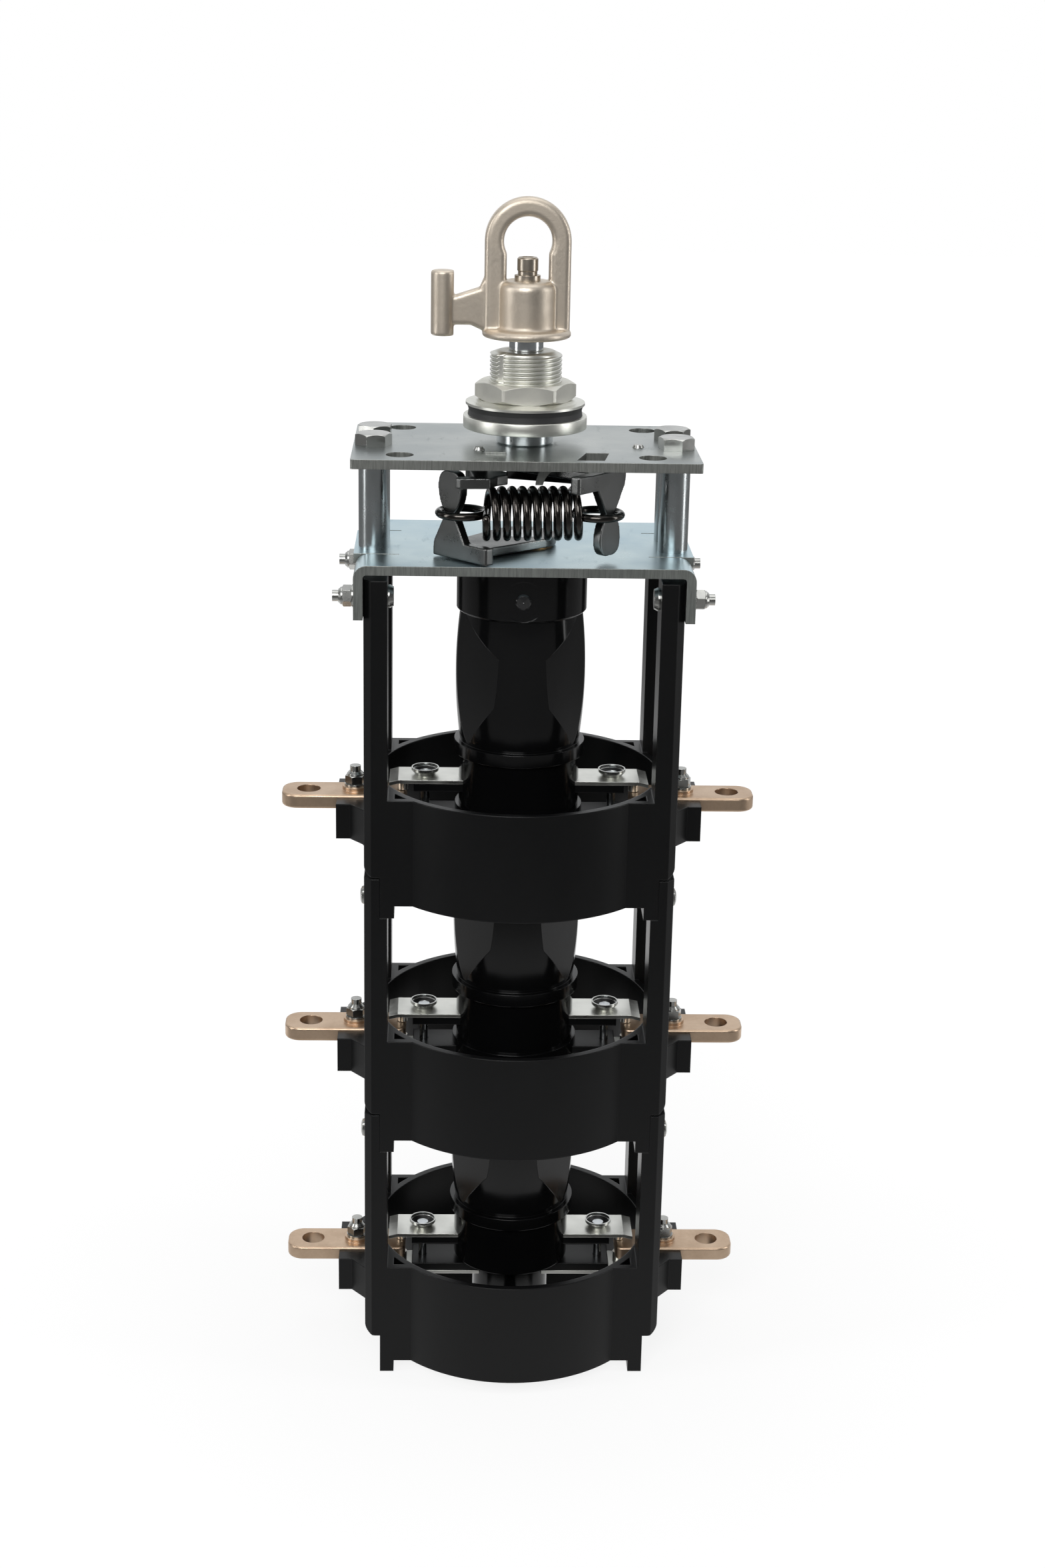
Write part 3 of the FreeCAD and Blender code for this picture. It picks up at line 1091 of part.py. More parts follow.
def handle_arm():
    """Tapered arm between the arch and the T-bar, blended into the arch."""
    half = 0.5 * ARM_THICK
    low = HANDLE_BOTTOM + ARM_LOW
    high = HANDLE_BOTTOM + ARM_HIGH_INNER
    outer, inner = T_BAR_X + ARM_LAP, ARM_ROOT - ARCH_RADIUS
    side = [point(outer, -half, low), point(-ARCH_RADIUS - ARM_BLEND, -half, low),
            point(-ARCH_RADIUS - ARM_FLARE_STEP[0], -half, low - ARM_FLARE_LOW[0]),
            point(inner, -half, low - ARM_FLARE_LOW[1]), point(inner, -half, high + ARM_FLARE_HIGH[1]),
            point(ARM_FLARE_STEP[1] - ARCH_RADIUS, -half, high + ARM_FLARE_HIGH[0]),
            point(-ARCH_RADIUS - ARM_FLARE_STEP[2], -half, high),
            point(outer, -half, HANDLE_BOTTOM + ARM_HIGH_OUTER)]
    arm = prism(side, Vector(0, ARM_THICK, 0))

    def long_edge(edge):
        ys = [v.Point.y for v in edge.Vertexes]
        xs = [v.Point.x for v in edge.Vertexes]
        return abs(ys[0] - ys[-1]) < 1e-6 and min(xs) < inner - 1e-3 and abs(xs[0] - xs[-1]) > 1e-3
    return fillet(arm, ARM_EDGE, long_edge)


def t_bar():
    """Upright round bar at the arm's end, with one flat side."""
    low = HANDLE_BOTTOM + T_BAR_LOW
    top = low + T_BAR_HEIGHT
    edge = T_BAR_EDGE
    profile = [(0, low), (T_BAR_RADIUS - edge, low), (T_BAR_RADIUS, low + edge), (T_BAR_RADIUS, top - edge),
               (T_BAR_RADIUS - edge, top), (0, top)]
    bar = moved(revolve(profile), T_BAR_X)
    flat_x = T_BAR_X + T_BAR_FLAT
    return bar.cut(box(flat_x, flat_x + 5, -10, 10, low - 1, top + 1))


def cap_screw():
    """Screw that holds the handle on the shaft, with a grooved round head."""
    seat = BELL_TOP + CAP_WASHER_THICK
    top = seat + CAP_SCREW_HEIGHT
    profile = [(0, BELL_TOP - CAP_SHANK_DEPTH), (CAP_SHANK_RADIUS, BELL_TOP - CAP_SHANK_DEPTH),
               (CAP_SHANK_RADIUS, seat), (CAP_NECK_RADIUS, seat), (CAP_NECK_RADIUS, seat + CAP_NECK_HEIGHT),
               (CAP_SCREW_RADIUS, seat + CAP_NECK_HEIGHT + 0.4), (CAP_SCREW_RADIUS, top - 0.8),
               (CAP_SCREW_RADIUS - 0.8, top), (CAP_DIMPLE_RADIUS + 0.4, top),
               (CAP_DIMPLE_RADIUS, top - CAP_DIMPLE_DEPTH), (0, top - CAP_DIMPLE_DEPTH)]
    return revolve(profile)


def cap_washer():
    return ring(CAP_WASHER_RADIUS, CAP_SHANK_RADIUS, BELL_TOP, BELL_TOP + CAP_WASHER_THICK)


# Cranks
def crank_plan(radius):
    """Plan of a crank arm on +X: round hub and tangents to the leg's root."""
    reach = radius + 0.5 * LEG_THICK
    root = radius - 0.5 * LEG_THICK
    hub_turn = math.radians(HUB_TANGENT)
    hub_x, hub_y = ARM_HUB_RADIUS * math.cos(hub_turn), ARM_HUB_RADIUS * math.sin(hub_turn)
    arc = Part.Arc(point(hub_x, hub_y), point(-ARM_HUB_RADIUS, 0), point(hub_x, -hub_y)).toShape()
    corners = [point(hub_x, -hub_y), point(root, -ROOT_HALF), point(reach, -ROOT_HALF),
               point(reach, ROOT_HALF), point(root, ROOT_HALF), point(hub_x, hub_y)]
    edges = [arc] + [Part.makeLine(a, b) for a, b in zip(corners, corners[1:])]
    return Part.Face(Part.Wire(edges))


def leg_outline(height, waist):
    """Front view of a crank leg: wide root, waist for the spring, rounded tip."""
    tip_mid = 0.5 * (waist + height)
    right = [(ROOT_HALF, 0.0), (ROOT_TOP_HALF + ROOT_FLARE[0], CRANK_THICK + ROOT_FLARE[1]),
             (WAIST_HALF, waist), (TIP_HALF, tip_mid + 1.0),
             (TIP_HALF - TIP_SHOULDER[0], height - TIP_SHOULDER[1]), (0.0, height)]
    start = [point(0, u, w) for u, w in right]
    curve = Part.BSplineCurve()
    curve.interpolate(start[2:])
    flank = Part.makeLine(start[0], start[1])
    slope = Part.makeLine(start[1], start[2])
    left = [point(0, -u, w) for u, w in right]
    mirror_curve = Part.BSplineCurve()
    mirror_curve.interpolate(list(reversed(left[2:])))
    wire = Part.Wire([flank, slope, curve.toShape(), mirror_curve.toShape(),
                      Part.makeLine(left[2], left[1]), Part.makeLine(left[1], left[0]),
                      Part.makeLine(left[0], start[0])])
    return Part.Face(wire)


def crank(radius, height, waist, shaft_radius, block_side):
    """Crank built on +X with its arm on z = 0 and its leg standing up."""
    arm = crank_plan(radius).extrude(Vector(0, 0, CRANK_THICK))
    leg = leg_outline(height, waist)
    leg.translate(Vector(radius - 0.5 * LEG_THICK, 0, 0))
    leg = leg.extrude(Vector(LEG_THICK, 0, 0))
    near, far = STOP_BLOCK_SPAN
    y0, y1 = sorted((block_side * (near - 1.0), block_side * far))
    inner = radius - 0.5 * LEG_THICK - 1.0
    block = box(inner, inner + STOP_BLOCK_DEPTH, y0, y1, 0, STOP_BLOCK_HEIGHT)
    block = fillet(block, 1.0, is_vertical)
    body = fuse([arm, leg, block])
    return body.cut(cylinder(shaft_radius, -1, CRANK_THICK + 1))


def crank_pin_bore(angle, low):
    """Cross bore through a crank's hub and its shaft."""
    reach = ARM_HUB_RADIUS - 1.0
    bore = Part.makeCylinder(CRANK_PIN_RADIUS, 2 * reach, point(-reach, 0, low + 0.5 * CRANK_THICK), X_AXIS)
    return turned(bore, angle + 90)


def output_crank():
    """Crank on the rotor shaft: arm on the bracket, leg pointing up."""
    height = PLATE_BOTTOM - LEG_END_GAP - OUTPUT_ARM_BOTTOM
    body = crank(OUTPUT_RADIUS, height, SPRING_Z - OUTPUT_ARM_BOTTOM, JOURNAL_RADIUS, 1)
    body = moved(turned(body, OUTPUT_ANGLE), z=OUTPUT_ARM_BOTTOM)
    return body.cut(crank_pin_bore(OUTPUT_ANGLE, OUTPUT_ARM_BOTTOM))


def input_crank():
    """Crank under the top plate: the same casting upside down, leg pointing down."""
    arm_top = INPUT_ARM_BOTTOM + CRANK_THICK
    height = arm_top - (BRACKET_TOP + LEG_END_GAP)
    body = crank(INPUT_RADIUS, height, arm_top - SPRING_Z, SHAFT_RADIUS, 1)
    body = turned(body, 180, X_AXIS)
    body = moved(turned(body, INPUT_ANGLE), z=arm_top)
    return body.cut(crank_pin_bore(INPUT_ANGLE, INPUT_ARM_BOTTOM))


def trip_arm():
    """Square bar fixed under the input crank's arm, reaching across to the pawl."""
    (x0, y0), (x1, y1) = TRIP_FROM, TRIP_TO
    length = math.hypot(x1 - x0, y1 - y0)
    half = 0.5 * TRIP_WIDTH
    bar = box(0, length, -half, half, INPUT_ARM_BOTTOM - TRIP_HEIGHT, INPUT_ARM_BOTTOM)
    bar = fillet(bar, 0.8, lambda e: not is_vertical(e))
    return moved(turned(bar, math.degrees(math.atan2(y1 - y0, x1 - x0))), x0, y0)


def latch_pawl():
    """Pawl on the plate's pivot rivet, with a nose beside the output leg."""
    top = PLATE_BOTTOM - PAWL_DROP
    low = top - PAWL_THICK
    blade = prism([point(PIVOT_X + x, PIVOT_Y + y, low) for x, y in PAWL_OUTLINE],
                  Vector(0, 0, PAWL_THICK))
    boss = cylinder(PAWL_BOSS_RADIUS, low, top, PIVOT_X, PIVOT_Y)
    collar = cylinder(PAWL_COLLAR_RADIUS, top, PLATE_BOTTOM - FIT, PIVOT_X, PIVOT_Y)
    pawl = fuse([blade, boss, collar])
    return pawl.cut(cylinder(RIVET_RADIUS + FIT, low - 1, PLATE_BOTTOM, PIVOT_X, PIVOT_Y))


# Spring
def tangent_points(start, centre, bulge):
    """Where straight runs from a point and its mirror image touch a hook's arc."""
    dx, dy = start.x - centre.x, start.y - centre.y
    distance = math.hypot(dx, dy)
    turn = math.atan2(dy, dx) + bulge * math.acos(HOOK_RADIUS / distance)
    x, y = HOOK_RADIUS * math.cos(turn), HOOK_RADIUS * math.sin(turn)
    return centre + Vector(x, y, 0), centre + Vector(x, -y, 0)


def hook(joined, end_x, free_x):
    """Open hook round a crank's waist: from the coil's end to a free end beside it."""
    side = math.copysign(1.0, end_x - joined.x)
    centre_y = spring_axis_y()
    front = math.copysign(1.0, joined.y - centre_y)
    centre = point(end_x - side * HOOK_RADIUS, centre_y, SPRING_Z)
    near, far = tangent_points(joined, centre, front * side)
    free = point(free_x, 2 * centre_y - joined.y, SPRING_Z)
    far_direction = far - free
    bend = Part.Arc(near, point(end_x, centre_y, SPRING_Z), far).toShape()
    path = Part.Wire([Part.makeLine(joined, near), bend,
                      Part.makeLine(far, far - far_direction * FREE_RUN)])
    return swept_circle(path, joined, near - joined)


def swept_circle(path, start, direction):
    """Wire of the spring's own thickness along one smooth path."""
    section = Part.Wire([Part.makeCircle(SPRING_WIRE, start, direction)])
    return path.makePipeShell([section], True, True)


def waist(angle, radius):
    turn = math.radians(angle)
    return point(radius * math.cos(turn), radius * math.sin(turn))


def spring_axis_y():
    return 0.5 * (waist(OUTPUT_ANGLE, OUTPUT_RADIUS).y + waist(INPUT_ANGLE, INPUT_RADIUS).y)


def drive_spring():
    """Extension spring hooked round the waists of both cranks."""
    coil_radius = SPRING_RADIUS - SPRING_WIRE
    length = SPRING_TURNS * SPRING_PITCH
    helix = Part.makeHelix(SPRING_PITCH, length, coil_radius)
    rise = SPRING_PITCH / (2 * math.pi * coil_radius)
    coil = swept_circle(Part.Wire(helix.Edges), point(coil_radius, 0, 0), Vector(0, 1, rise))
    coil = turned(turned(coil, 90, Y_AXIS), -90, X_AXIS)
    x0, x1 = SPRING_CENTRE_X - 0.5 * length, SPRING_CENTRE_X + 0.5 * length
    centre_y = spring_axis_y()
    coil = moved(coil, x0, centre_y, SPRING_Z)
    reach = math.sqrt(0.5) * (0.5 * LEG_THICK + WAIST_HALF) + HOOK_PLAY + SPRING_WIRE
    left = point(x0, centre_y - coil_radius, SPRING_Z)
    right = point(x1, centre_y + coil_radius, SPRING_Z)
    hooks = [hook(left, waist(OUTPUT_ANGLE, OUTPUT_RADIUS).x - reach, x0),
             hook(right, waist(INPUT_ANGLE, INPUT_RADIUS).x + reach, x1)]
    knees = [Part.makeSphere(KNEE_RADIUS, left), Part.makeSphere(KNEE_RADIUS, right)]
    return coil.fuse(hooks + knees)


# Nodes
def stack_of_fasteners():
    """All groups of identical fasteners."""
    studs, nuts, washers, screws, bolts = [], [], [], [], []
    washer_seat = TERMINAL_TOP + TERMINAL_BOSS_HEIGHT
    for index in BARS:
        base = index * DECK_PITCH
        for side in SIDES:
            x = TERMINAL_BOLT_X * side
            studs.append(terminal_stud(base, side))
            washers.append(moved(flat_washer(), x, 0, base + washer_seat))
            nuts.append(moved(lock_nut(), x, 0, base + washer_seat + M6_WASHER_THICK))
        if index > 0:
            screws += [joint_screw(base, side, end) for side, end in CORNERS]
    for side, end in CORNERS:
        y = end * POST_SCREW_Y
        head_seat = POST_INNER
        tip = stud_top_stack(TAB_OUTER)
        bolt = cylinder(M6_RADIUS, head_seat, tip)
        head_top = head_seat - BOLT_HEAD_THICK
        head = revolve([(0, head_top), (BOLT_HEAD_RADIUS - 1, head_top), (BOLT_HEAD_RADIUS, head_seat - 1),
                        (BOLT_HEAD_RADIUS, head_seat), (0, head_seat)])
        bolts.append(along_x(bolt.fuse(head), side, 0, y, BRACKET_BOLT_Z))
        washers.append(along_x(flat_washer(), side, TAB_OUTER, y, BRACKET_BOLT_Z))
        nuts.append(along_x(lock_nut(), side, TAB_OUTER + M6_WASHER_THICK, y, BRACKET_BOLT_Z))
    return {"terminal_studs": studs, "lock_nuts": nuts, "flat_washers": washers,
            "deck_screws": screws, "bracket_bolts": bolts}


def column_fasteners():
    bolts, nuts = [], []
    low = BRACKET_BOTTOM - M10_NUT - M10_TIP
    for corner in CORNERS:
        x, y = corner[0] * COLUMN_X, corner[1] * COLUMN_Y
        bolts.append(moved(hex_bolt(HEAD_ANGLES[corner], low, PLATE_TOP), x, y))
        blank = chamfered_hexagon(M10_FLATS, 0, M10_NUT, HEAD_ANGLES[corner] + 20)
        nut = moved(blank, z=BRACKET_BOTTOM - M10_NUT).cut(cylinder(M10_RADIUS, low, PLATE_BOTTOM))
        nuts.append(moved(nut, x, y))
    return bolts, nuts


DECK_NAMES = ("bottom", "middle", "top")


def nodes():
    """Every node of the switch, by name."""
    made = {"handle": handle(), "handle_screw": cap_screw(), "handle_washer": cap_washer(),
            "operating_shaft": operating_shaft(), "mounting_hub": mounting_hub(), "hub_nut": hub_nut(),
            "cup_washer": cup_washer(), "hub_snap_ring": snap_ring(), "shaft_seals": group(seal_rings()),
            "tank_gasket": tank_gasket(), "hub_spacer": hub_spacer(),
            "top_plate": top_plate(), "plate_rivets": rivets(), "lower_bracket": lower_bracket(),
            "output_crank": output_crank(), "input_crank": input_crank(),
            "input_crank_pin": crank_pin_bore(INPUT_ANGLE, INPUT_ARM_BOTTOM),
            "output_crank_pin": crank_pin_bore(OUTPUT_ANGLE, OUTPUT_ARM_BOTTOM),
            "trip_arm": trip_arm(), "latch_pawl": latch_pawl(), "rotor_shaft": rotor_shaft(),
            "rotor_journal": rotor_journal()}
    made["drive_spring"] = drive_spring()
    made["bracket_bush"], made["floor_bush"] = bushes()
    made["columns"] = group(columns())
    bolts, nuts = column_fasteners()
    made["column_bolts"], made["column_nuts"] = group(bolts), group(nuts)
    for name, shapes in stack_of_fasteners().items():
        made[name] = group(shapes)
    pins, cups, cross_pins = [], [], []
    for index in BARS:
        name = DECK_NAMES[index] if DECK_COUNT == len(DECK_NAMES) else str(index + 1)
        base = index * DECK_PITCH
        made["deck_frame_" + name] = deck_frame(index)
        made["rotor_segment_" + name] = rotor_segment(index)
        made["rotor_collar_" + name] = rotor_collar(index)
        made["upper_contact_" + name] = contact_strip(index)
        made["lower_contact_" + name] = contact_strip(index, lower=True)
        made["contact_backers_" + name] = contact_backers(index)
        for side, word in zip(SIDES, ("left", "right")):
            made["terminal_%s_%s" % (name, word)] = terminal(index, side)
            pins.append(contact_pin(base, side))
            cup = spring_cup(base, side)
            cups += [cup, flipped(cup, base)]
        cross_pins.append(rotor_pin(index))
    made["contact_pins"], made["contact_cups"] = group(pins), group(cups)
    made["rotor_pins"] = group(cross_pins)
    return made


os.makedirs(OUT_DIR, exist_ok=True)
for node_name, node_shape in nodes().items():
    save(node_name, node_shape)
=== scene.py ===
"""Looks of a three-phase oil-immersed rotary switch disconnector.

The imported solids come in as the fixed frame. This file dresses each of them in
its real finish, and makes the pieces whose true form is finer than the solids:
the threaded hub, the drive spring and the softened castings.
"""
import json
import logging
import math
from dataclasses import dataclass
from enum import Enum
from typing import Any, Dict, Optional, Tuple

import bmesh
import bpy
import numpy as np
from mathutils import Matrix, Vector

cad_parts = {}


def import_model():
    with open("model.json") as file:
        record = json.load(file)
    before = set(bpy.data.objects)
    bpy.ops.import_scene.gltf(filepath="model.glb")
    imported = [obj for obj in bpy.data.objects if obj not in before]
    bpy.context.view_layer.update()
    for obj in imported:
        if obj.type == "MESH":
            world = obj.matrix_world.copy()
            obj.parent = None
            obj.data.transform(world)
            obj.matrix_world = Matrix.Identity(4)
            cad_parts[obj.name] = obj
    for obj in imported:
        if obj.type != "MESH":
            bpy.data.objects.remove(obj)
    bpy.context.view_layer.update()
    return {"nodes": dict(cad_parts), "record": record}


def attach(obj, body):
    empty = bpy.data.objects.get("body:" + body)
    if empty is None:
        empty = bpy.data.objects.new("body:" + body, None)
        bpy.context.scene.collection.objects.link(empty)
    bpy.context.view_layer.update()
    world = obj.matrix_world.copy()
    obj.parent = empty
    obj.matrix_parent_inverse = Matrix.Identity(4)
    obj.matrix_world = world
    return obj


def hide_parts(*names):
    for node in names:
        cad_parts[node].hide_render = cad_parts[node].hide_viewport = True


LOG = logging.getLogger("switch")
Triple = Tuple[float, float, float]
Colour = Triple
Grid = np.ndarray

MM = 0.001
MERGE_DISTANCE = 1e-6       # metres within which two points of a mesh are one
BEVEL_SAMPLES = 6
WHITE: Colour = (1.0, 1.0, 1.0)
BLACK: Colour = (0.0, 0.0, 0.0)


def srgb(red: float, green: float, blue: float) -> Colour:
    """Turn a display colour (0 to 255) into linear light.

    Args:
        red: Red on the display.
        green: Green on the display.
        blue: Blue on the display.

    Returns:
        The three linear values.
    """
    def linear(value: float) -> float:
        """Undo the display curve for one channel."""
        v = value / 255.0
        return v / 12.92 if v <= 0.04045 else ((v + 0.055) / 1.055) ** 2.4
    return (linear(red), linear(green), linear(blue))


def scaled(colour: Colour, factor: float) -> Colour:
    """Colour made darker or lighter by a factor."""
    red, green, blue = colour
    return (red * factor, green * factor, blue * factor)


# Shader maths
class Signal:
    """One shader socket, with operators that add Math nodes."""

    def __init__(self, graph: "Graph", socket: Any) -> None:
        """Keep the graph and the socket that carries the value."""
        self.graph = graph
        self.socket = socket

    def _math(self, operation: str, *values: Any) -> "Signal":
        """Add one Math node fed by the given values."""
        return self.graph.node("ShaderNodeMath", {"operation": operation}, dict(enumerate(values)))

    def __add__(self, other: Any) -> "Signal":
        """Sum."""
        return self._math("ADD", self, other)

    __radd__ = __add__

    def __sub__(self, other: Any) -> "Signal":
        """Difference."""
        return self._math("SUBTRACT", self, other)

    def __rsub__(self, other: Any) -> "Signal":
        """Difference from a number."""
        return self._math("SUBTRACT", other, self)

    def __mul__(self, other: Any) -> "Signal":
        """Product."""
        return self._math("MULTIPLY", self, other)

    __rmul__ = __mul__

    def modulo(self, divisor: float) -> "Signal":
        """Remainder after a division."""
        return self._math("MODULO", self, divisor)

    def absolute(self) -> "Signal":
        """Value without its sign."""
        return self._math("ABSOLUTE", self)

    def clamp(self) -> "Signal":
        """Limit to the range from 0 to 1."""
        low = self._math("MAXIMUM", self, 0.0)
        return low._math("MINIMUM", low, 1.0)


@dataclass(frozen=True)
class Pattern:
    """Fractal noise.

    Attributes:
        scale: Cells per metre.
        detail: Layers of finer noise.
        rough: Strength of each finer layer.
        stretch: Scale along each axis.
        low: Noise level at which the pattern's mask is 0.
        high: Noise level at which the pattern's mask is 1.
    """

    scale: float
    detail: float = 3.0
    rough: float = 0.55
    stretch: Triple = (1.0, 1.0, 1.0)
    low: float = 0.0
    high: float = 1.0


class Graph:
    """Node tree of one material, or of the world."""

    def __init__(self, owner: Any) -> None:
        """Empty the node tree of a material or a world.

        Args:
            owner: The material or the world.
        """
        owner.use_nodes = True
        self.owner = owner
        self.tree = owner.node_tree
        self.tree.nodes.clear()

    @classmethod
    def material(cls, name: str) -> "Graph":
        """Start a new material with the given name."""
        return cls(bpy.data.materials.new(name))

    def node(self, kind: str, settings: Optional[Dict[str, Any]] = None,
             inputs: Optional[Dict[Any, Any]] = None, output: Any = 0) -> Signal:
        """Add a node, set it up and feed it.

        Args:
            kind: Node type.
            settings: Properties set before the sockets.
            inputs: Values or signals by socket name or index.
            output: Name or index of the socket handed back.

        Returns:
            The chosen output, which is empty for a node without outputs.
        """
        made = self.tree.nodes.new(kind)
        for key, value in (settings or {}).items():
            setattr(made, key, value)
        for key, value in (inputs or {}).items():
            self._feed(made.inputs[key], value)
        return Signal(self, made.outputs[output] if len(made.outputs) else None)

    def _feed(self, socket: Any, value: Any) -> None:
        """Link a signal to a socket, or set the socket's own value.

        Args:
            socket: Input to feed.
            value: Signal, number, vector or colour of three values.
        """
        if isinstance(value, Signal):
            self.tree.links.new(value.socket, socket)
        elif socket.type == "RGBA":
            socket.default_value = (*value, 1.0)
        else:
            socket.default_value = value

    def coordinates(self, kind: str = "Object") -> Signal:
        """Texture coordinates of one kind."""
        return self.node("ShaderNodeTexCoord", output=kind)

    def part(self, vector: Signal, axis: str) -> Signal:
        """One of a vector's three parts, X, Y or Z."""
        return self.node("ShaderNodeSeparateXYZ", {}, {0: vector}, axis)

    def length(self, vector: Signal) -> Signal:
        """Length of a vector."""
        return self.node("ShaderNodeVectorMath", {"operation": "LENGTH"}, {0: vector}, "Value")

    def ray(self, kind: str) -> Signal:
        """Whether a ray is of the given kind."""
        return self.node("ShaderNodeLightPath", output=kind)

    def noise(self, pattern: Pattern, where: Optional[Signal] = None) -> Signal:
        """Fractal noise.

        Args:
            pattern: Size and kind of the noise.
            where: Coordinates to read instead of the stretched Object ones.

        Returns:
            The noise level, from 0 to 1.
        """
        if where is None:
            where = self.node("ShaderNodeMapping", {},
                              {"Vector": self.coordinates(), "Scale": pattern.stretch})
        return self.node("ShaderNodeTexNoise", {}, {
            "Vector": where, "Scale": pattern.scale,
            "Detail": pattern.detail, "Roughness": pattern.rough})

    def ramp(self, value: Signal, low: float, high: float) -> Signal:
        """Straight step from 0 at low to 1 at high; low may be the larger one."""
        return self.node("ShaderNodeMapRange", {"clamp": True},
                         {"Value": value, "From Min": low, "From Max": high})

    def mask(self, pattern: Pattern) -> Signal:
        """Noise as a mask between the pattern's two levels."""
        return self.ramp(self.noise(pattern), pattern.low, pattern.high)

    def mix(self, factor: Any, first: Any, second: Any) -> Signal:
        """Blend two colours."""
        return self.node("ShaderNodeMix", {"data_type": "RGBA"},
                         {0: factor, 6: first, 7: second}, 2)

    def blend(self, factor: Any, first: Signal, second: Signal) -> Signal:
        """Blend two shaders."""
        return self.node("ShaderNodeMixShader", {}, {0: factor, 1: first, 2: second})

    def radial(self) -> Signal:
        """Distance from the shaft's axis and height, for turned work.

        Returns:
            A vector with the distance as X, nothing as Y and the height as Z.
        """
        where = self.coordinates()
        flat = self.node("ShaderNodeVectorMath", {"operation": "MULTIPLY"},
                         {0: where, 1: (1.0, 1.0, 0.0)})
        return self.node("ShaderNodeCombineXYZ", {},
                         {0: self.length(flat), 1: 0.0, 2: self.part(where, "Z")})

    def round_edges(self, radius_mm: float) -> Optional[Signal]:
        """Normal that rounds sharp edges.

        Args:
            radius_mm: Radius of the edges; 0 leaves them sharp.

        Returns:
            The normal, or nothing for sharp edges.
        """
        if radius_mm <= 0.0:
            return None
        return self.node("ShaderNodeBevel", {"samples": BEVEL_SAMPLES}, {"Radius": radius_mm * MM})

    def bump(self, height: Signal, depth_mm: float, strength: float,
             normal: Optional[Signal]) -> Signal:
        """Normal bent by a height pattern.

        Args:
            height: Height pattern, from 0 to 1.
            depth_mm: Depth of the pattern.
            strength: Share of the bend that shows.
            normal: Normal to start from, or nothing for the surface's own.

        Returns:
            The bent normal.
        """
        inputs: Dict[str, Any] = {
            "Height": height, "Distance": depth_mm * MM, "Strength": strength}
        if normal is not None:
            inputs["Normal"] = normal
        return self.node("ShaderNodeBump", {}, inputs)

    def finish(self, inputs: Dict[str, Any]) -> bpy.types.Material:
        """Close the tree with a Principled shader and hand back the material."""
        shader = self.node("ShaderNodeBsdfPrincipled", {}, inputs)
        return self.close(shader, "ShaderNodeOutputMaterial")

    def close(self, shader: Signal, kind: str) -> Any:
        """Link a shader to the output and hand back the tree's owner."""
        self.node(kind, {}, {"Surface": shader})
        return self.owner


# Noise of the finishes
METAL_CLOUDS = Pattern(60.0, 4.0, low=0.38, high=0.68)
CAST_FINE = Pattern(1100.0)
CAST_COARSE = Pattern(420.0, 2.0)
TURNED_RINGS = Pattern(1600.0, 2.0, 0.7)
STRIP_ROLLED = Pattern(350.0, stretch=(0.12, 1.0, 1.0))
STRIP_SHEARED = Pattern(900.0, 2.0, stretch=(1.0, 0.3, 0.06))
PLATED_FINE = Pattern(500.0, 4.0)
PLATE_CLOUDS = Pattern(22.0, 4.0, 0.6, low=0.36, high=0.66)
PLATE_ROLLED = Pattern(420.0, stretch=(0.10, 1.0, 1.0))
PLATE_SCUFFS = Pattern(160.0, 5.0, 0.7, (1.0, 0.25, 1.0), 0.60, 0.72)
PLATE_STREAKS = Pattern(1500.0, 3.0, 0.7, (1.0, 1.0, 0.05), 0.35, 0.62)
MOULD_CLOUDS = Pattern(30.0, 4.0, stretch=(1.0, 1.0, 0.5))
MOULD_SPECKS = Pattern(2600.0, 2.0, low=0.62, high=0.74)
MOULD_WAVES = Pattern(70.0, 2.0)
MOULD_SKIN = Pattern(1400.0)
RUBBER_FINE = Pattern(1200.0)
FLOOR_GRAIN = Pattern(3.0, 2.0)


# Finishes
class Grain(Enum):
    """How a metal surface was left by its making."""

    CAST = "cast"
    SHEET = "sheet"
    TURNED = "turned"
    PLATED = "plated"


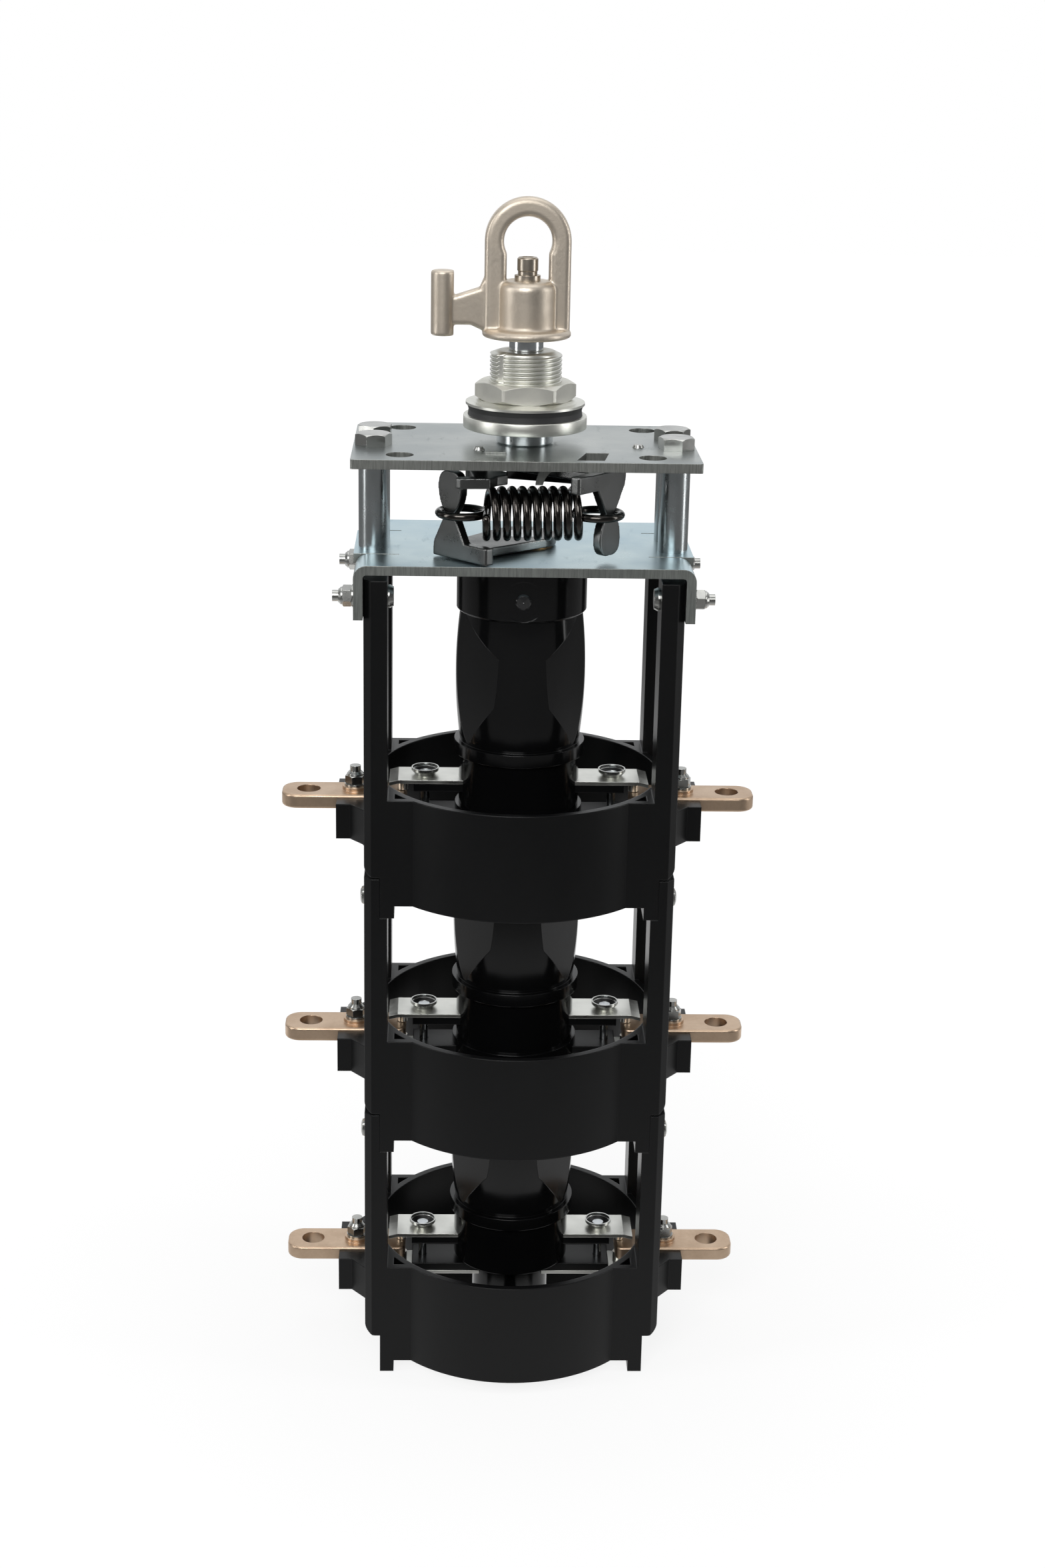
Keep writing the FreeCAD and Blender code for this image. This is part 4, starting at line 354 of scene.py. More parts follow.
@dataclass(frozen=True)
class MetalFinish:
    """A bare or plated metal.

    Attributes:
        name: Name of the material.
        colour: Mean colour in linear light.
        roughness: Mean roughness.
        grain: What its surface was left by.
        stain: Second colour, seen in soft clouds.
        stain_share: How strongly the second colour shows.
        edge_mm: Radius of its worn edges.
        depth_mm: Depth of its grain.
        speckle: How strongly single grains take the second colour.
        grain_levels: Grain heights between which a grain takes it.
        bump_share: Share of the grain's bend that shows.
        cloud_rough: Roughness that the clouds add.
        wear_rough: Roughness that the grain adds.
        rough_drop: Taken off the mean roughness for both.
    """

    name: str
    colour: Colour
    roughness: float
    grain: Grain
    stain: Colour
    stain_share: float = 0.3
    edge_mm: float = 0.3
    depth_mm: float = 0.05
    speckle: float = 0.0
    grain_levels: Tuple[float, float] = (0.62, 0.40)
    bump_share: float = 0.6
    cloud_rough: float = 0.10
    wear_rough: float = 0.16
    rough_drop: float = 0.12

    def build(self) -> bpy.types.Material:
        """Make the material.

        Returns:
            The finished material.
        """
        graph = Graph.material(self.name)
        clouds = graph.mask(METAL_CLOUDS)
        height, wear = self._grain(graph)
        grains = graph.ramp(height, *self.grain_levels) * self.speckle
        stained = (clouds * self.stain_share + grains).clamp()
        colour = graph.mix(stained, self.colour, self.stain)
        rounded = graph.round_edges(self.edge_mm)
        normal = graph.bump(height, self.depth_mm, self.bump_share, rounded)
        mean = self.roughness - self.rough_drop
        rough = (clouds * self.cloud_rough + wear * self.wear_rough + mean).clamp()
        return graph.finish({"Base Color": colour, "Metallic": 1.0, "Roughness": rough,
                             "Normal": normal})

    def _grain(self, graph: Graph) -> Tuple[Signal, Signal]:
        """Pattern that the making left.

        Args:
            graph: Tree to add it to.

        Returns:
            Its height, and the same as a mask for roughness.
        """
        if self.grain is Grain.CAST:
            fine = graph.noise(CAST_FINE)
            return fine * 0.6 + graph.noise(CAST_COARSE), fine
        if self.grain is Grain.TURNED:
            rings = graph.noise(TURNED_RINGS, graph.radial())
            return rings, rings
        if self.grain is Grain.SHEET:
            rolled = graph.noise(STRIP_ROLLED)
            return rolled + graph.noise(STRIP_SHEARED) * 0.6, rolled
        fine = graph.noise(PLATED_FINE)
        return fine, fine * 0.3


@dataclass(frozen=True)
class SheetFinish:
    """Zinc-plated plate: rolled faces, and sheared edges with upright streaks; the edges' darker
    colour is partly sheared steel, partly painted shade.

    Attributes:
        name: Name of the material.
        face: Colour of the faces.
        tint: Second colour of the faces, seen in soft clouds.
        edge: Colour of the edges, darker than the faces, partly for the sheared steel and partly
            as painted shade.
        upright: Rise of the normal between which an edge turns into a face.
        scuff_dark: Share of the second colour's light left in a scuff.
        scuff_share: How strongly the scuffs show.
        streak_dark: Share of the edge's light left in a streak.
        roughness: Roughness of a clean face.
    """

    name: str
    face: Colour
    tint: Colour
    edge: Colour
    upright: Tuple[float, float] = (0.35, 0.75)
    scuff_dark: float = 0.7
    scuff_share: float = 0.35
    streak_dark: float = 0.68
    roughness: float = 0.27

    def build(self) -> bpy.types.Material:
        """Make the material. Edges are where the surface's normal lies level.

        Returns:
            The finished material.
        """
        graph = Graph.material(self.name)
        up = graph.part(graph.coordinates("Normal"), "Z")
        side = 1.0 - graph.ramp(up.absolute(), *self.upright)
        clouds = graph.mask(PLATE_CLOUDS)
        rolled = graph.noise(PLATE_ROLLED)
        scuffs = graph.mask(PLATE_SCUFFS)
        streaks = graph.noise(PLATE_STREAKS)
        face = graph.mix(clouds, self.face, self.tint)
        face = graph.mix(scuffs * self.scuff_share, face, scaled(self.tint, self.scuff_dark))
        streaked = graph.ramp(streaks, PLATE_STREAKS.low, PLATE_STREAKS.high)
        edge = graph.mix(streaked, scaled(self.edge, self.streak_dark), self.edge)
        height = rolled * 0.35 * (1.0 - side) + streaks * side * 2.0
        normal = graph.bump(height, 0.05, 0.6, graph.round_edges(0.5))
        rough = (clouds * 0.08 + scuffs * 0.12 + side * 0.14 + self.roughness).clamp()
        # Sides take the edge colour, darker than the faces: partly sheared steel, partly painted
        # shade.
        return graph.finish({"Base Color": graph.mix(side, face, edge), "Metallic": 1.0,
                             "Roughness": rough, "Normal": normal})


@dataclass(frozen=True)
class MouldedFinish:
    """A black moulding with a skin of flow marks.

    Attributes:
        name: Name of the material.
        colour: Mean colour in linear light.
        roughness: Mean roughness of the skin.
        flow: Strength of the broad, soft waves in the skin.
        edge_mm: Radius of its edges.
        coat: Weight of the clear, resin-rich skin.
        specular: Strength of its mirror reflection.
        flow_depth: Depth of the waves in millimetres.
        coat_roughness: Roughness of the clear skin.
    """

    name: str
    colour: Colour
    roughness: float
    flow: float = 0.3
    edge_mm: float = 0.5
    coat: float = 0.0
    specular: float = 0.5
    flow_depth: float = 0.25
    coat_roughness: float = 0.12

    def build(self) -> bpy.types.Material:
        """Make the material.

        Returns:
            The finished material.
        """
        graph = Graph.material(self.name)
        clouds = graph.noise(MOULD_CLOUDS)
        specks = graph.mask(MOULD_SPECKS)
        lighter = tuple(min(1.0, c * 1.8 + 0.002) for c in self.colour)
        colour = graph.mix((clouds * 0.5 + specks * 0.35).clamp(), self.colour, lighter)
        rounded = graph.round_edges(self.edge_mm)
        height = graph.noise(MOULD_WAVES) + graph.noise(MOULD_SKIN) * 0.05
        normal = graph.bump(height, self.flow_depth, self.flow, rounded)
        rough = (clouds * 0.12 + specks * 0.08 + (self.roughness - 0.08)).clamp()
        return graph.finish({"Base Color": colour, "Roughness": rough, "Normal": normal,
                             "Coat Weight": self.coat, "Coat Roughness": self.coat_roughness,
                             "Specular IOR Level": self.specular})


@dataclass(frozen=True)
class CupFinish:
    """Zinc-plated cup with a black floor.

    Attributes:
        name: Name of the material.
        rim: Colour of the rim and the walls.
        floor: Colour of the floor.
        pitch: Height from one deck to the next, in metres.
        level: Height that parts the floor from the rim, above a deck's feet.
        blur: Height over which one turns into the other, in metres.
        facing: Rise of the normal between which a surface counts as floor.
    """

    name: str
    rim: Colour
    floor: Colour
    pitch: float = 0.140
    level: float = 0.0666
    blur: float = 0.0002
    facing: Tuple[float, float] = (0.3, 0.6)

    def build(self) -> bpy.types.Material:
        """Make the material.

        The floor is whatever faces upwards below the level, on each deck.

        Returns:
            The finished material.
        """
        graph = Graph.material(self.name)
        up = graph.part(graph.coordinates("Normal"), "Z")
        height = graph.part(graph.coordinates(), "Z").modulo(self.pitch)
        below = 1.0 - graph.ramp(height, self.level - self.blur, self.level)
        inside = below * graph.ramp(up, *self.facing)
        colour = graph.mix(inside, self.rim, self.floor)
        return graph.finish({"Base Color": colour, "Metallic": 1.0 - inside,
                             "Roughness": inside * 0.2 + 0.24})


@dataclass(frozen=True)
class RubberFinish:
    """Black oil-proof rubber.

    Attributes:
        name: Name of the material.
        colour: Colour of its dark parts in linear light.
        roughness: Least roughness.
    """

    name: str
    colour: Colour
    roughness: float = 0.45

    def build(self) -> bpy.types.Material:
        """Make the material.

        Returns:
            The finished material.
        """
        graph = Graph.material(self.name)
        fine = graph.noise(RUBBER_FINE)
        colour = graph.mix(fine, self.colour, scaled(self.colour, 1.7))
        normal = graph.bump(fine, 0.05, 0.5, graph.round_edges(0.3))
        return graph.finish({"Base Color": colour, "Roughness": fine * 0.2 + self.roughness,
                             "Normal": normal})


FINISHES: Dict[str, Any] = {
    "champagne_cast": MetalFinish("champagne_cast", srgb(214, 203, 188), 0.46, Grain.CAST,
                                  srgb(176, 165, 150), 0.40, 0.5, 0.075, 0.28),
    "champagne_turned": MetalFinish("champagne_turned", srgb(186, 177, 164), 0.40, Grain.PLATED,
                                    srgb(160, 151, 138), 0.3, 0.3, 0.02, 0.15),
    "hub_aluminium": MetalFinish("hub_aluminium", srgb(224, 224, 217), 0.44, Grain.PLATED,
                                 srgb(200, 199, 192), 0.35, 0.0, 0.003),
    "nut_aluminium": MetalFinish("nut_aluminium", srgb(220, 219, 211), 0.54, Grain.PLATED,
                                 srgb(204, 203, 195), 0.35, 0.3, 0.01, 0.1),
    "bright_steel": MetalFinish("bright_steel", srgb(206, 210, 212), 0.22, Grain.TURNED,
                                srgb(160, 166, 170), 0.35, 0.25, 0.02),
    "column_zinc": MetalFinish("column_zinc", srgb(186, 191, 192), 0.30, Grain.PLATED,
                               srgb(160, 166, 168), 0.3, 0.0, 0.003),
    "zinc_fastener": MetalFinish("zinc_fastener", srgb(184, 184, 180), 0.28, Grain.PLATED,
                                 srgb(140, 142, 142), 0.45, 0.25, 0.012),
    # The third colour of each plate finish is its edges', darker partly as painted shade.
    "plate_zinc": SheetFinish("plate_zinc", srgb(178, 182, 179), srgb(162, 168, 168),
                              srgb(156, 158, 154)),
    "bracket_zinc": SheetFinish("bracket_zinc", srgb(196, 216, 220), srgb(182, 206, 216),
                                srgb(162, 166, 162)),
    "cast_zinc": MetalFinish("cast_zinc", srgb(108, 109, 108), 0.32, Grain.CAST,
                             srgb(96, 98, 98), 0.3, 0.5, 0.035, 0.2),
    "spring_steel": MetalFinish("spring_steel", srgb(74, 71, 68), 0.24, Grain.PLATED,
                                srgb(58, 56, 54), 0.4, 0.0, 0.004),
    "bearing_bronze": MetalFinish("bearing_bronze", srgb(176, 140, 96), 0.40, Grain.TURNED,
                                  srgb(140, 104, 66), 0.4, 0.2, 0.04),
    "terminal_bronze": MetalFinish("terminal_bronze", srgb(208, 183, 158), 0.44, Grain.PLATED,
                                   srgb(180, 154, 130), 0.4, 0.7, 0.04, 0.15),
    "contact_silver": MetalFinish("contact_silver", srgb(226, 226, 220), 0.34, Grain.SHEET,
                                  srgb(190, 192, 188), 0.3, 0.3, 0.03),
    "black_steel": MouldedFinish("black_steel", (0.010, 0.010, 0.0105), 0.20, 0.08, 0.2, 1.0, 0.6),
    "deck_moulding": MouldedFinish("deck_moulding", (0.0026, 0.0027, 0.0029),
                                   0.34, 0.15, 0.9, 0.0, 0.26),
    "rotor_moulding": MouldedFinish("rotor_moulding", (0.0024, 0.0025, 0.0027),
                                    0.17, 0.10, 0.6, 0.0, 0.36),
    "cup_zinc": CupFinish("cup_zinc", srgb(196, 197, 194), (0.004, 0.004, 0.0042)),
    "gasket_rubber": RubberFinish("gasket_rubber", (0.013, 0.013, 0.0135)),
}

# Nodes whose finish differs a little from their slot's
TINTED: Dict[str, str] = {
    "lower_bracket": "bracket_zinc",
    "hub_nut": "nut_aluminium",
    "columns": "column_zinc",
    "contact_cups": "cup_zinc",
    "handle_screw": "champagne_turned",
    "handle_washer": "champagne_turned",
}


# Meshes from arrays
def grid_mesh(name: str, grid: Grid, close_u: bool, close_v: bool,
              cap_ends: bool = False) -> bpy.types.Object:
    """Turn a grid of points into a smooth surface.

    Point (i, j) joins (i + 1, j), (i + 1, j + 1) and (i, j + 1); where a
    direction is closed its last line joins its first.

    Args:
        name: Name of the piece.
        grid: Points, as rows by columns by three, in metres.
        close_u: Whether the rows close into a ring.
        close_v: Whether the columns close into a ring.
        cap_ends: Whether the first and last row get a fan to their middle.

    Returns:
        The new object.
    """
    rows, columns = grid.shape[:2]
    i = np.arange(rows if close_u else rows - 1)
    j = np.arange(columns if close_v else columns - 1)
    ii, jj = np.meshgrid(i, j, indexing="ij")
    i2, j2 = (ii + 1) % rows, (jj + 1) % columns
    faces = np.stack([ii * columns + jj, i2 * columns + jj,
                      i2 * columns + j2, ii * columns + j2], axis=-1)
    points = grid.reshape(-1, 3)
    quads = faces.reshape(-1, 4).tolist()
    if cap_ends:
        middle = np.stack([grid[0].mean(axis=0), grid[-1].mean(axis=0)])
        first, last = len(points), len(points) + 1
        points = np.concatenate([points, middle])
        k = np.arange(columns)
        k2 = (k + 1) % columns
        tail = (rows - 1) * columns
        quads += np.stack([np.full(columns, first), k, k2], axis=-1).tolist()
        quads += np.stack([np.full(columns, last), tail + k2, tail + k], axis=-1).tolist()
    mesh = bpy.data.meshes.new(name)
    mesh.from_pydata(points.tolist(), [], quads)
    mesh.validate()
    piece = bpy.data.objects.new(name, mesh)
    bpy.context.scene.collection.objects.link(piece)
    Mesher.face_outwards(piece)
    return piece


class Mesher:
    """Tools that finish a mesh."""

    RELAX_FACTOR = 0.5

    @staticmethod
    def face_outwards(piece: bpy.types.Object) -> None:
        """Merge doubles and point all faces outwards.

        Args:
            piece: Object whose mesh is finished in place.
        """
        work = bmesh.new()
        work.from_mesh(piece.data)
        bmesh.ops.remove_doubles(work, verts=work.verts, dist=MERGE_DISTANCE)
        bmesh.ops.recalc_face_normals(work, faces=work.faces)
        work.to_mesh(piece.data)
        work.free()
        Mesher.shade(piece)

    @staticmethod
    def shade(piece: bpy.types.Object) -> None:
        """Shade every face smoothly.

        Args:
            piece: Object whose mesh is shaded.
        """
        smooth = np.ones(len(piece.data.polygons), dtype=bool)
        piece.data.polygons.foreach_set("use_smooth", smooth)
        piece.data.update()

    @staticmethod
    def softened(source: bpy.types.Object, name: str, voxel_mm: float,
                 rounds: int) -> bpy.types.Object:
        """Copy of a solid with its edges melted, as a casting has them.

        The copy is rebuilt from small cubes and then relaxed.

        Args:
            source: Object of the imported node.
            name: Name of the new piece.
            voxel_mm: Size of the cubes.
            rounds: How many times it is relaxed.

        Returns:
            The new piece.
        """
        mesh = source.data.copy()
        mesh.name = name
        mesh.materials.clear()
        piece = bpy.data.objects.new(name, mesh)
        bpy.context.scene.collection.objects.link(piece)
        work = bmesh.new()
        work.from_mesh(mesh)
        bmesh.ops.remove_doubles(work, verts=work.verts, dist=MERGE_DISTANCE)
        work.to_mesh(mesh)
        work.free()
        remesh = piece.modifiers.new("remesh", "REMESH")
        remesh.mode = "VOXEL"
        remesh.voxel_size = voxel_mm * MM
        relax = piece.modifiers.new("relax", "SMOOTH")
        relax.factor = Mesher.RELAX_FACTOR
        relax.iterations = rounds
        graph = bpy.context.evaluated_depsgraph_get()
        piece.data = bpy.data.meshes.new_from_object(piece.evaluated_get(graph))
        piece.modifiers.clear()
        Mesher.shade(piece)
        return piece


def tube(name: str, path: Grid, radius: float, sides: int = 20) -> bpy.types.Object:
    """Round wire along a path, with domed ends.

    Each ring stands square to the path; its first direction is carried along
    by taking out the part along the tangent at every step, and the radius
    follows a quarter circle over the first and last stretch, down to a small
    share at the tip that keeps the last ring open for its fan.

    Args:
        name: Name of the piece.
        path: Points of the centre line in metres.
        radius: Wire radius in metres.
        sides: Points round the wire.

    Returns:
        The wire.
    """
    tip = 0.02
    steps = np.linalg.norm(np.diff(path, axis=0), axis=1)
    run = np.concatenate([[0.0], np.cumsum(steps)])
    tangent = np.gradient(path, run, axis=0)
    tangent /= np.linalg.norm(tangent, axis=1, keepdims=True)
    side = np.empty_like(tangent)
    reference = np.array([0.0, 0.0, 1.0])
    for index, direction in enumerate(tangent):
        reference = reference - direction * reference.dot(direction)
        reference /= np.linalg.norm(reference)
        side[index] = reference
    other = np.cross(tangent, side)
    turn = np.linspace(0.0, 2.0 * np.pi, sides, endpoint=False)
    inward = np.minimum(run, run[-1] - run)
    dome = np.sqrt(np.clip(1.0 - (1.0 - np.clip(inward / radius, 0.0, 1.0)) ** 2, tip, 1.0))
    ring = (np.cos(turn)[None, :, None] * side[:, None]
            + np.sin(turn)[None, :, None] * other[:, None])
    grid = path[:, None] + ring * (radius * dome)[:, None, None]
    return grid_mesh(name, grid, False, True, True)


# Sub-assemblies
@dataclass
class ThreadedHub:
    """Hub with flange, helical thread and keyway. Sizes in millimetres.

    Attributes:
        bore: Bore radius.
        crest: Radius of the thread's crests.
        depth: Depth of the thread.
        pitch: Pitch of the thread.
        flange: Flange radius.
        neck: Radius of the neck above the plate.
        neck_end: Radius of the neck through the plate.
        key_x: Place of the keyway across the front.
        key_half: Half width of the keyway.
        key_depth: Depth of the keyway below the front of the thread.
        heights: Heights of the corners, upwards.
        edge: Width of the flange's broken edges.
        break_in: How far the middle of such an edge lies in from its corner.
        thread_step: Spacing of the points along the thread.
        plain_step: Spacing of the points elsewhere.
        around: Points round the axis, with the first one met again.
        sharpness: Power that narrows the groove.
        fade_in: Height over which the thread starts.
        fade_out: Height over which it ends.
        run_out: How far the thread's end lies above the top edge of its crests.
    """

    bore: float = 9.05
    crest: float = 19.05
    depth: float = 1.25
    pitch: float = 2.2
    flange: float = 32.8
    neck: float = 11.9
    neck_end: float = 10.9
    key_x: float = -14.5
    key_half: float = 2.5
    key_depth: float = 1.6
    heights: Tuple[float, ...] = (523.0, 530.0, 538.4, 545.0, 563.2, 577.3, 578.9)
    edge: float = 0.5
    break_in: float = 0.15
    thread_step: float = 0.14
    plain_step: float = 4.0
    around: int = 361
    sharpness: float = 2.2
    fade_in: float = 0.3
    fade_out: float = 1.2
    run_out: float = 1.6

    def profile(self) -> Grid:
        """Corners of the section, from the bore round to the bore.

        Returns:
            Radius and height of each corner.
        """
        z0, z1, z2, z3, _, z5, z6 = self.heights
        edge, brk = self.edge, self.break_in
        return np.array([
            (self.bore, z0), (self.neck_end, z0), (self.neck_end, z1),
            (self.neck, z1), (self.neck, z2),
            (self.flange - edge, z2), (self.flange - brk, z2 + brk), (self.flange, z2 + edge),
            (self.flange, z3 - edge), (self.flange - brk, z3 - brk), (self.flange - edge, z3),
            (self.crest, z3), (self.crest, z5),
            (self.crest - 4.0, z6 - 0.1), (self.crest - 4.6, z6),
            (self.bore + 0.6, z6), (self.bore, z6 - 0.6), (self.bore, z0 + 1.0)])

    def surface(self) -> Grid:
        """Surface of the hub.

        The section is resampled finely along the thread and turned round the
        axis. In the thread the radius drops by the depth times a narrow
        groove, a raised cosine to a power, that follows height over pitch
        minus angle over a turn. On the keyway's width the front is held back
        to its flat floor.

        Returns:
            Grid of points in metres.
        """
        corners = self.profile()
        parts = []
        for start, end in zip(corners[:-1], corners[1:]):
            length = float(np.hypot(*(end - start)))
            in_thread = np.allclose([start[0], end[0]], self.crest, rtol=0.0, atol=0.01)
            step = self.thread_step if in_thread else self.plain_step
            count = max(2, int(length / step) + 1)
            parts.append(start + np.linspace(0.0, 1.0, count)[:-1, None] * (end - start))
        line = np.concatenate(parts + [corners[-1:]])
        angle = np.linspace(-np.pi, np.pi, self.around)[:-1]
        by_a_corner = np.linspace(-0.006, 0.006, 5)
        extra = np.concatenate([
            by_a_corner + np.arcsin(x / self.crest) - 0.5 * np.pi
            for x in (self.key_x - self.key_half, self.key_x + self.key_half)])
        angle = np.sort(np.concatenate([angle, extra]))
        radius = np.repeat(line[:, :1], len(angle), axis=1)
        height = np.repeat(line[:, 1:], len(angle), axis=1)
        wave = (height / self.pitch - angle[None] / (2 * np.pi)) % 1.0
        tooth = 0.5 - 0.5 * np.cos(2 * np.pi * wave)
        low, high = self.heights[4], self.heights[5] + self.run_out
        fade = (np.clip((height - low) / self.fade_in, 0.0, 1.0)
                * np.clip((high - height) / self.fade_out, 0.0, 1.0))
        outside = radius > self.crest - 5.0
        threaded = outside & (radius < self.crest + 0.1)
        radius = radius - np.where(threaded, self.depth * tooth ** self.sharpness * fade, 0.0)
        x = radius * np.cos(angle)[None]
        y = radius * np.sin(angle)[None]
        floor = -math.sqrt(self.crest ** 2 - self.key_x ** 2) + self.key_depth
        across = np.abs(x - self.key_x) < self.key_half
        keyed = across & (y < floor) & (height > low + 0.2) & outside
        y = np.where(keyed, floor, y)
        return np.stack([x, y, height], axis=-1) * MM

    def build(self) -> bpy.types.Object:
        """Make the hub in place of its plain solid.

        Returns:
            The threaded hub.
        """
        piece = grid_mesh("mounting_hub_threaded", self.surface(), True, True)
        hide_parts("mounting_hub")
        LOG.info("threaded hub: %d faces", len(piece.data.polygons))
        return piece


@dataclass
class DriveSpring:
    """Extension spring between the waists of the two cranks. Sizes in millimetres.

    Attributes:
        coil: Radius of the coil's centre line.
        wire: Wire radius.
        turns: Turns in the coil.
        pitch: Advance of one turn.
        middle: Middle of the coil along X.
        lean: Turn of the coil about the vertical through its middle, in degrees.
        axis_y: Place of the coil's axis.
        axis_z: Height of the coil's axis.
        ends: Tips of the two hooks along X.
        loop: Radius of a hook's bend.
        back_share: Share of the way back to the coil that a hook's end covers.
        arc_points: Points round a hook's bend.
        run_points: Points along a hook's straight run.
        turn_points: Points in one turn of the coil.
        step: Spacing of the finished points.
        blend: Width, in points, of the window that smooths the joins.
    """

    coil: float = 12.3
    wire: float = 2.1
    turns: float = 9.5
    pitch: float = 5.35
    middle: float = 3.8
    lean: float = 4.3
    axis_y: float = -38.19
    axis_z: float = 499.7
    ends: Tuple[float, float] = (-45.09, 49.92)
    loop: float = 12.0
    back_share: float = 0.8
    arc_points: int = 41
    run_points: int = 14
    turn_points: int = 64
    step: float = 0.55
    blend: int = 9

    def hook(self, tip: float, start: Grid, side: float) -> Grid:
        """Path of a hook, from the coil outwards, round its bend and back.

        A straight run closes in on the bend's circle, which it touches, the
        arc goes round the far side, and the mirror image of the run comes
        back most of the way.

        Args:
            tip: End of the hook along X.
            start: End of the coil, seen from above.
            side: Side of the coil that the hook is on, -1 or 1.

        Returns:
            Points of the hook about the coil's axis.
        """
        front = math.copysign(1.0, start[1])
        centre = np.array([tip - side * self.loop, 0.0])
        away = start - centre
        distance = float(np.hypot(*away))
        turn = math.atan2(away[1], away[0]) + front * side * math.acos(self.loop / distance)
        touch = centre + self.loop * np.array([math.cos(turn), math.sin(turn)])
        first = math.atan2(touch[1] - centre[1], touch[0] - centre[0])
        middle = 0.0 if side > 0 else math.copysign(math.pi, first)
        sweep = first + np.linspace(0.0, 2.0, self.arc_points)[:, None] * (middle - first)
        arc = centre + self.loop * np.concatenate([np.cos(sweep), np.sin(sweep)], axis=1)
        inwards = np.linspace(0.0, 1.0, self.run_points)[:-1, None]
        run_in = start + inwards * (touch - start)
        back_end = np.array([start[0], -start[1]])
        outwards = np.linspace(0.0, self.back_share, self.run_points)[1:, None]
        run_out = arc[-1] + outwards * (back_end - arc[-1])
        flat = np.concatenate([run_in, arc, run_out])
        return np.concatenate([flat, np.zeros((len(flat), 1))], axis=1)

    def path(self) -> Grid:
        """Whole centre line: left hook, coil and right hook, smoothed where they meet.

        The coil is a helix, pitch times turn along X and the coil's radius
        times minus cosine and minus sine of the turn across it.

        Returns:
            Points in metres, evenly spaced along the wire.
        """
        x0 = self.middle - 0.5 * self.turns * self.pitch
        t = np.linspace(0.0, self.turns, int(self.turns * self.turn_points))
        coil = np.stack([x0 + t * self.pitch, -self.coil * np.cos(2 * np.pi * t),
                         -self.coil * np.sin(2 * np.pi * t)], axis=1)
        lean = math.radians(self.lean)
        along, across = coil[:, 0] - self.middle, coil[:, 1].copy()
        coil[:, 0] = self.middle + along * math.cos(lean) - across * math.sin(lean)
        coil[:, 1] = along * math.sin(lean) + across * math.cos(lean)
        left = self.hook(self.ends[0], coil[0, :2], -1.0)[::-1]
        right = self.hook(self.ends[1], coil[-1, :2], 1.0)
        whole = np.concatenate([left[:-1], coil, right[1:]])
        lengths = np.linalg.norm(np.diff(whole, axis=0), axis=1)
        run = np.concatenate([[0.0], np.cumsum(lengths)])
        even = np.arange(0.0, run[-1], self.step)
        line = np.stack([np.interp(even, run, whole[:, k]) for k in range(3)], axis=1)
        kernel = np.hanning(self.blend)[1:-1]
        kernel /= kernel.sum()
        padded = np.pad(line, ((len(kernel) // 2,) * 2, (0, 0)), mode="edge")
        smooth = np.stack([np.convolve(padded[:, k], kernel, mode="valid")
                           for k in range(3)], axis=1)
        return (smooth + np.array([0.0, self.axis_y, self.axis_z])) * MM

    def build(self) -> bpy.types.Object:
        """Make the wire in place of its plain solid.

        Returns:
            The spring.
        """
        piece = tube("drive_spring_wire", self.path(), self.wire * MM)
        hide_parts("drive_spring")
        LOG.info("drive spring: %d faces", len(piece.data.polygons))
        return piece


@dataclass
class Castings:
    """Castings whose edges are melted smooth.

    Attributes:
        pieces: Node, cube size in millimetres, relaxing rounds, slot and body.
    """

    pieces: Tuple[Tuple[str, float, int, str, str], ...] = (
        ("handle", 0.55, 5, "champagne_cast", "handle"),
        ("input_crank", 0.45, 5, "cast_zinc", "handle"),
        ("output_crank", 0.45, 5, "cast_zinc", "rotor"),
        ("latch_pawl", 0.35, 4, "cast_zinc", "pawl"),
    )

    def build(self, nodes: Dict[str, bpy.types.Object]) -> Dict[str, bpy.types.Object]:
        """Make each softened casting in place of its plain solid.

        Args:
            nodes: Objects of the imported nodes, by name.

        Returns:
            The castings, by the name of their node.
        """
        made = {}
        for node, voxel, rounds, slot, _ in self.pieces:
            piece = Mesher.softened(nodes[node], node + "_casting", voxel, rounds)
            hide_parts(node)
            made[node] = piece
            LOG.info("casting %s: %d faces", node, len(piece.data.polygons))
        return made


@dataclass(frozen=True)
class SoftBox:
    """One lamp of the studio.

    Attributes:
        name: Name of the lamp.
        place: Where it stands, in metres.
        aim: What it points at.
        size: Width and height.
        power: Power in watts.
    """

    name: str
    place: Triple
    aim: Triple
    size: Tuple[float, float]
    power: float


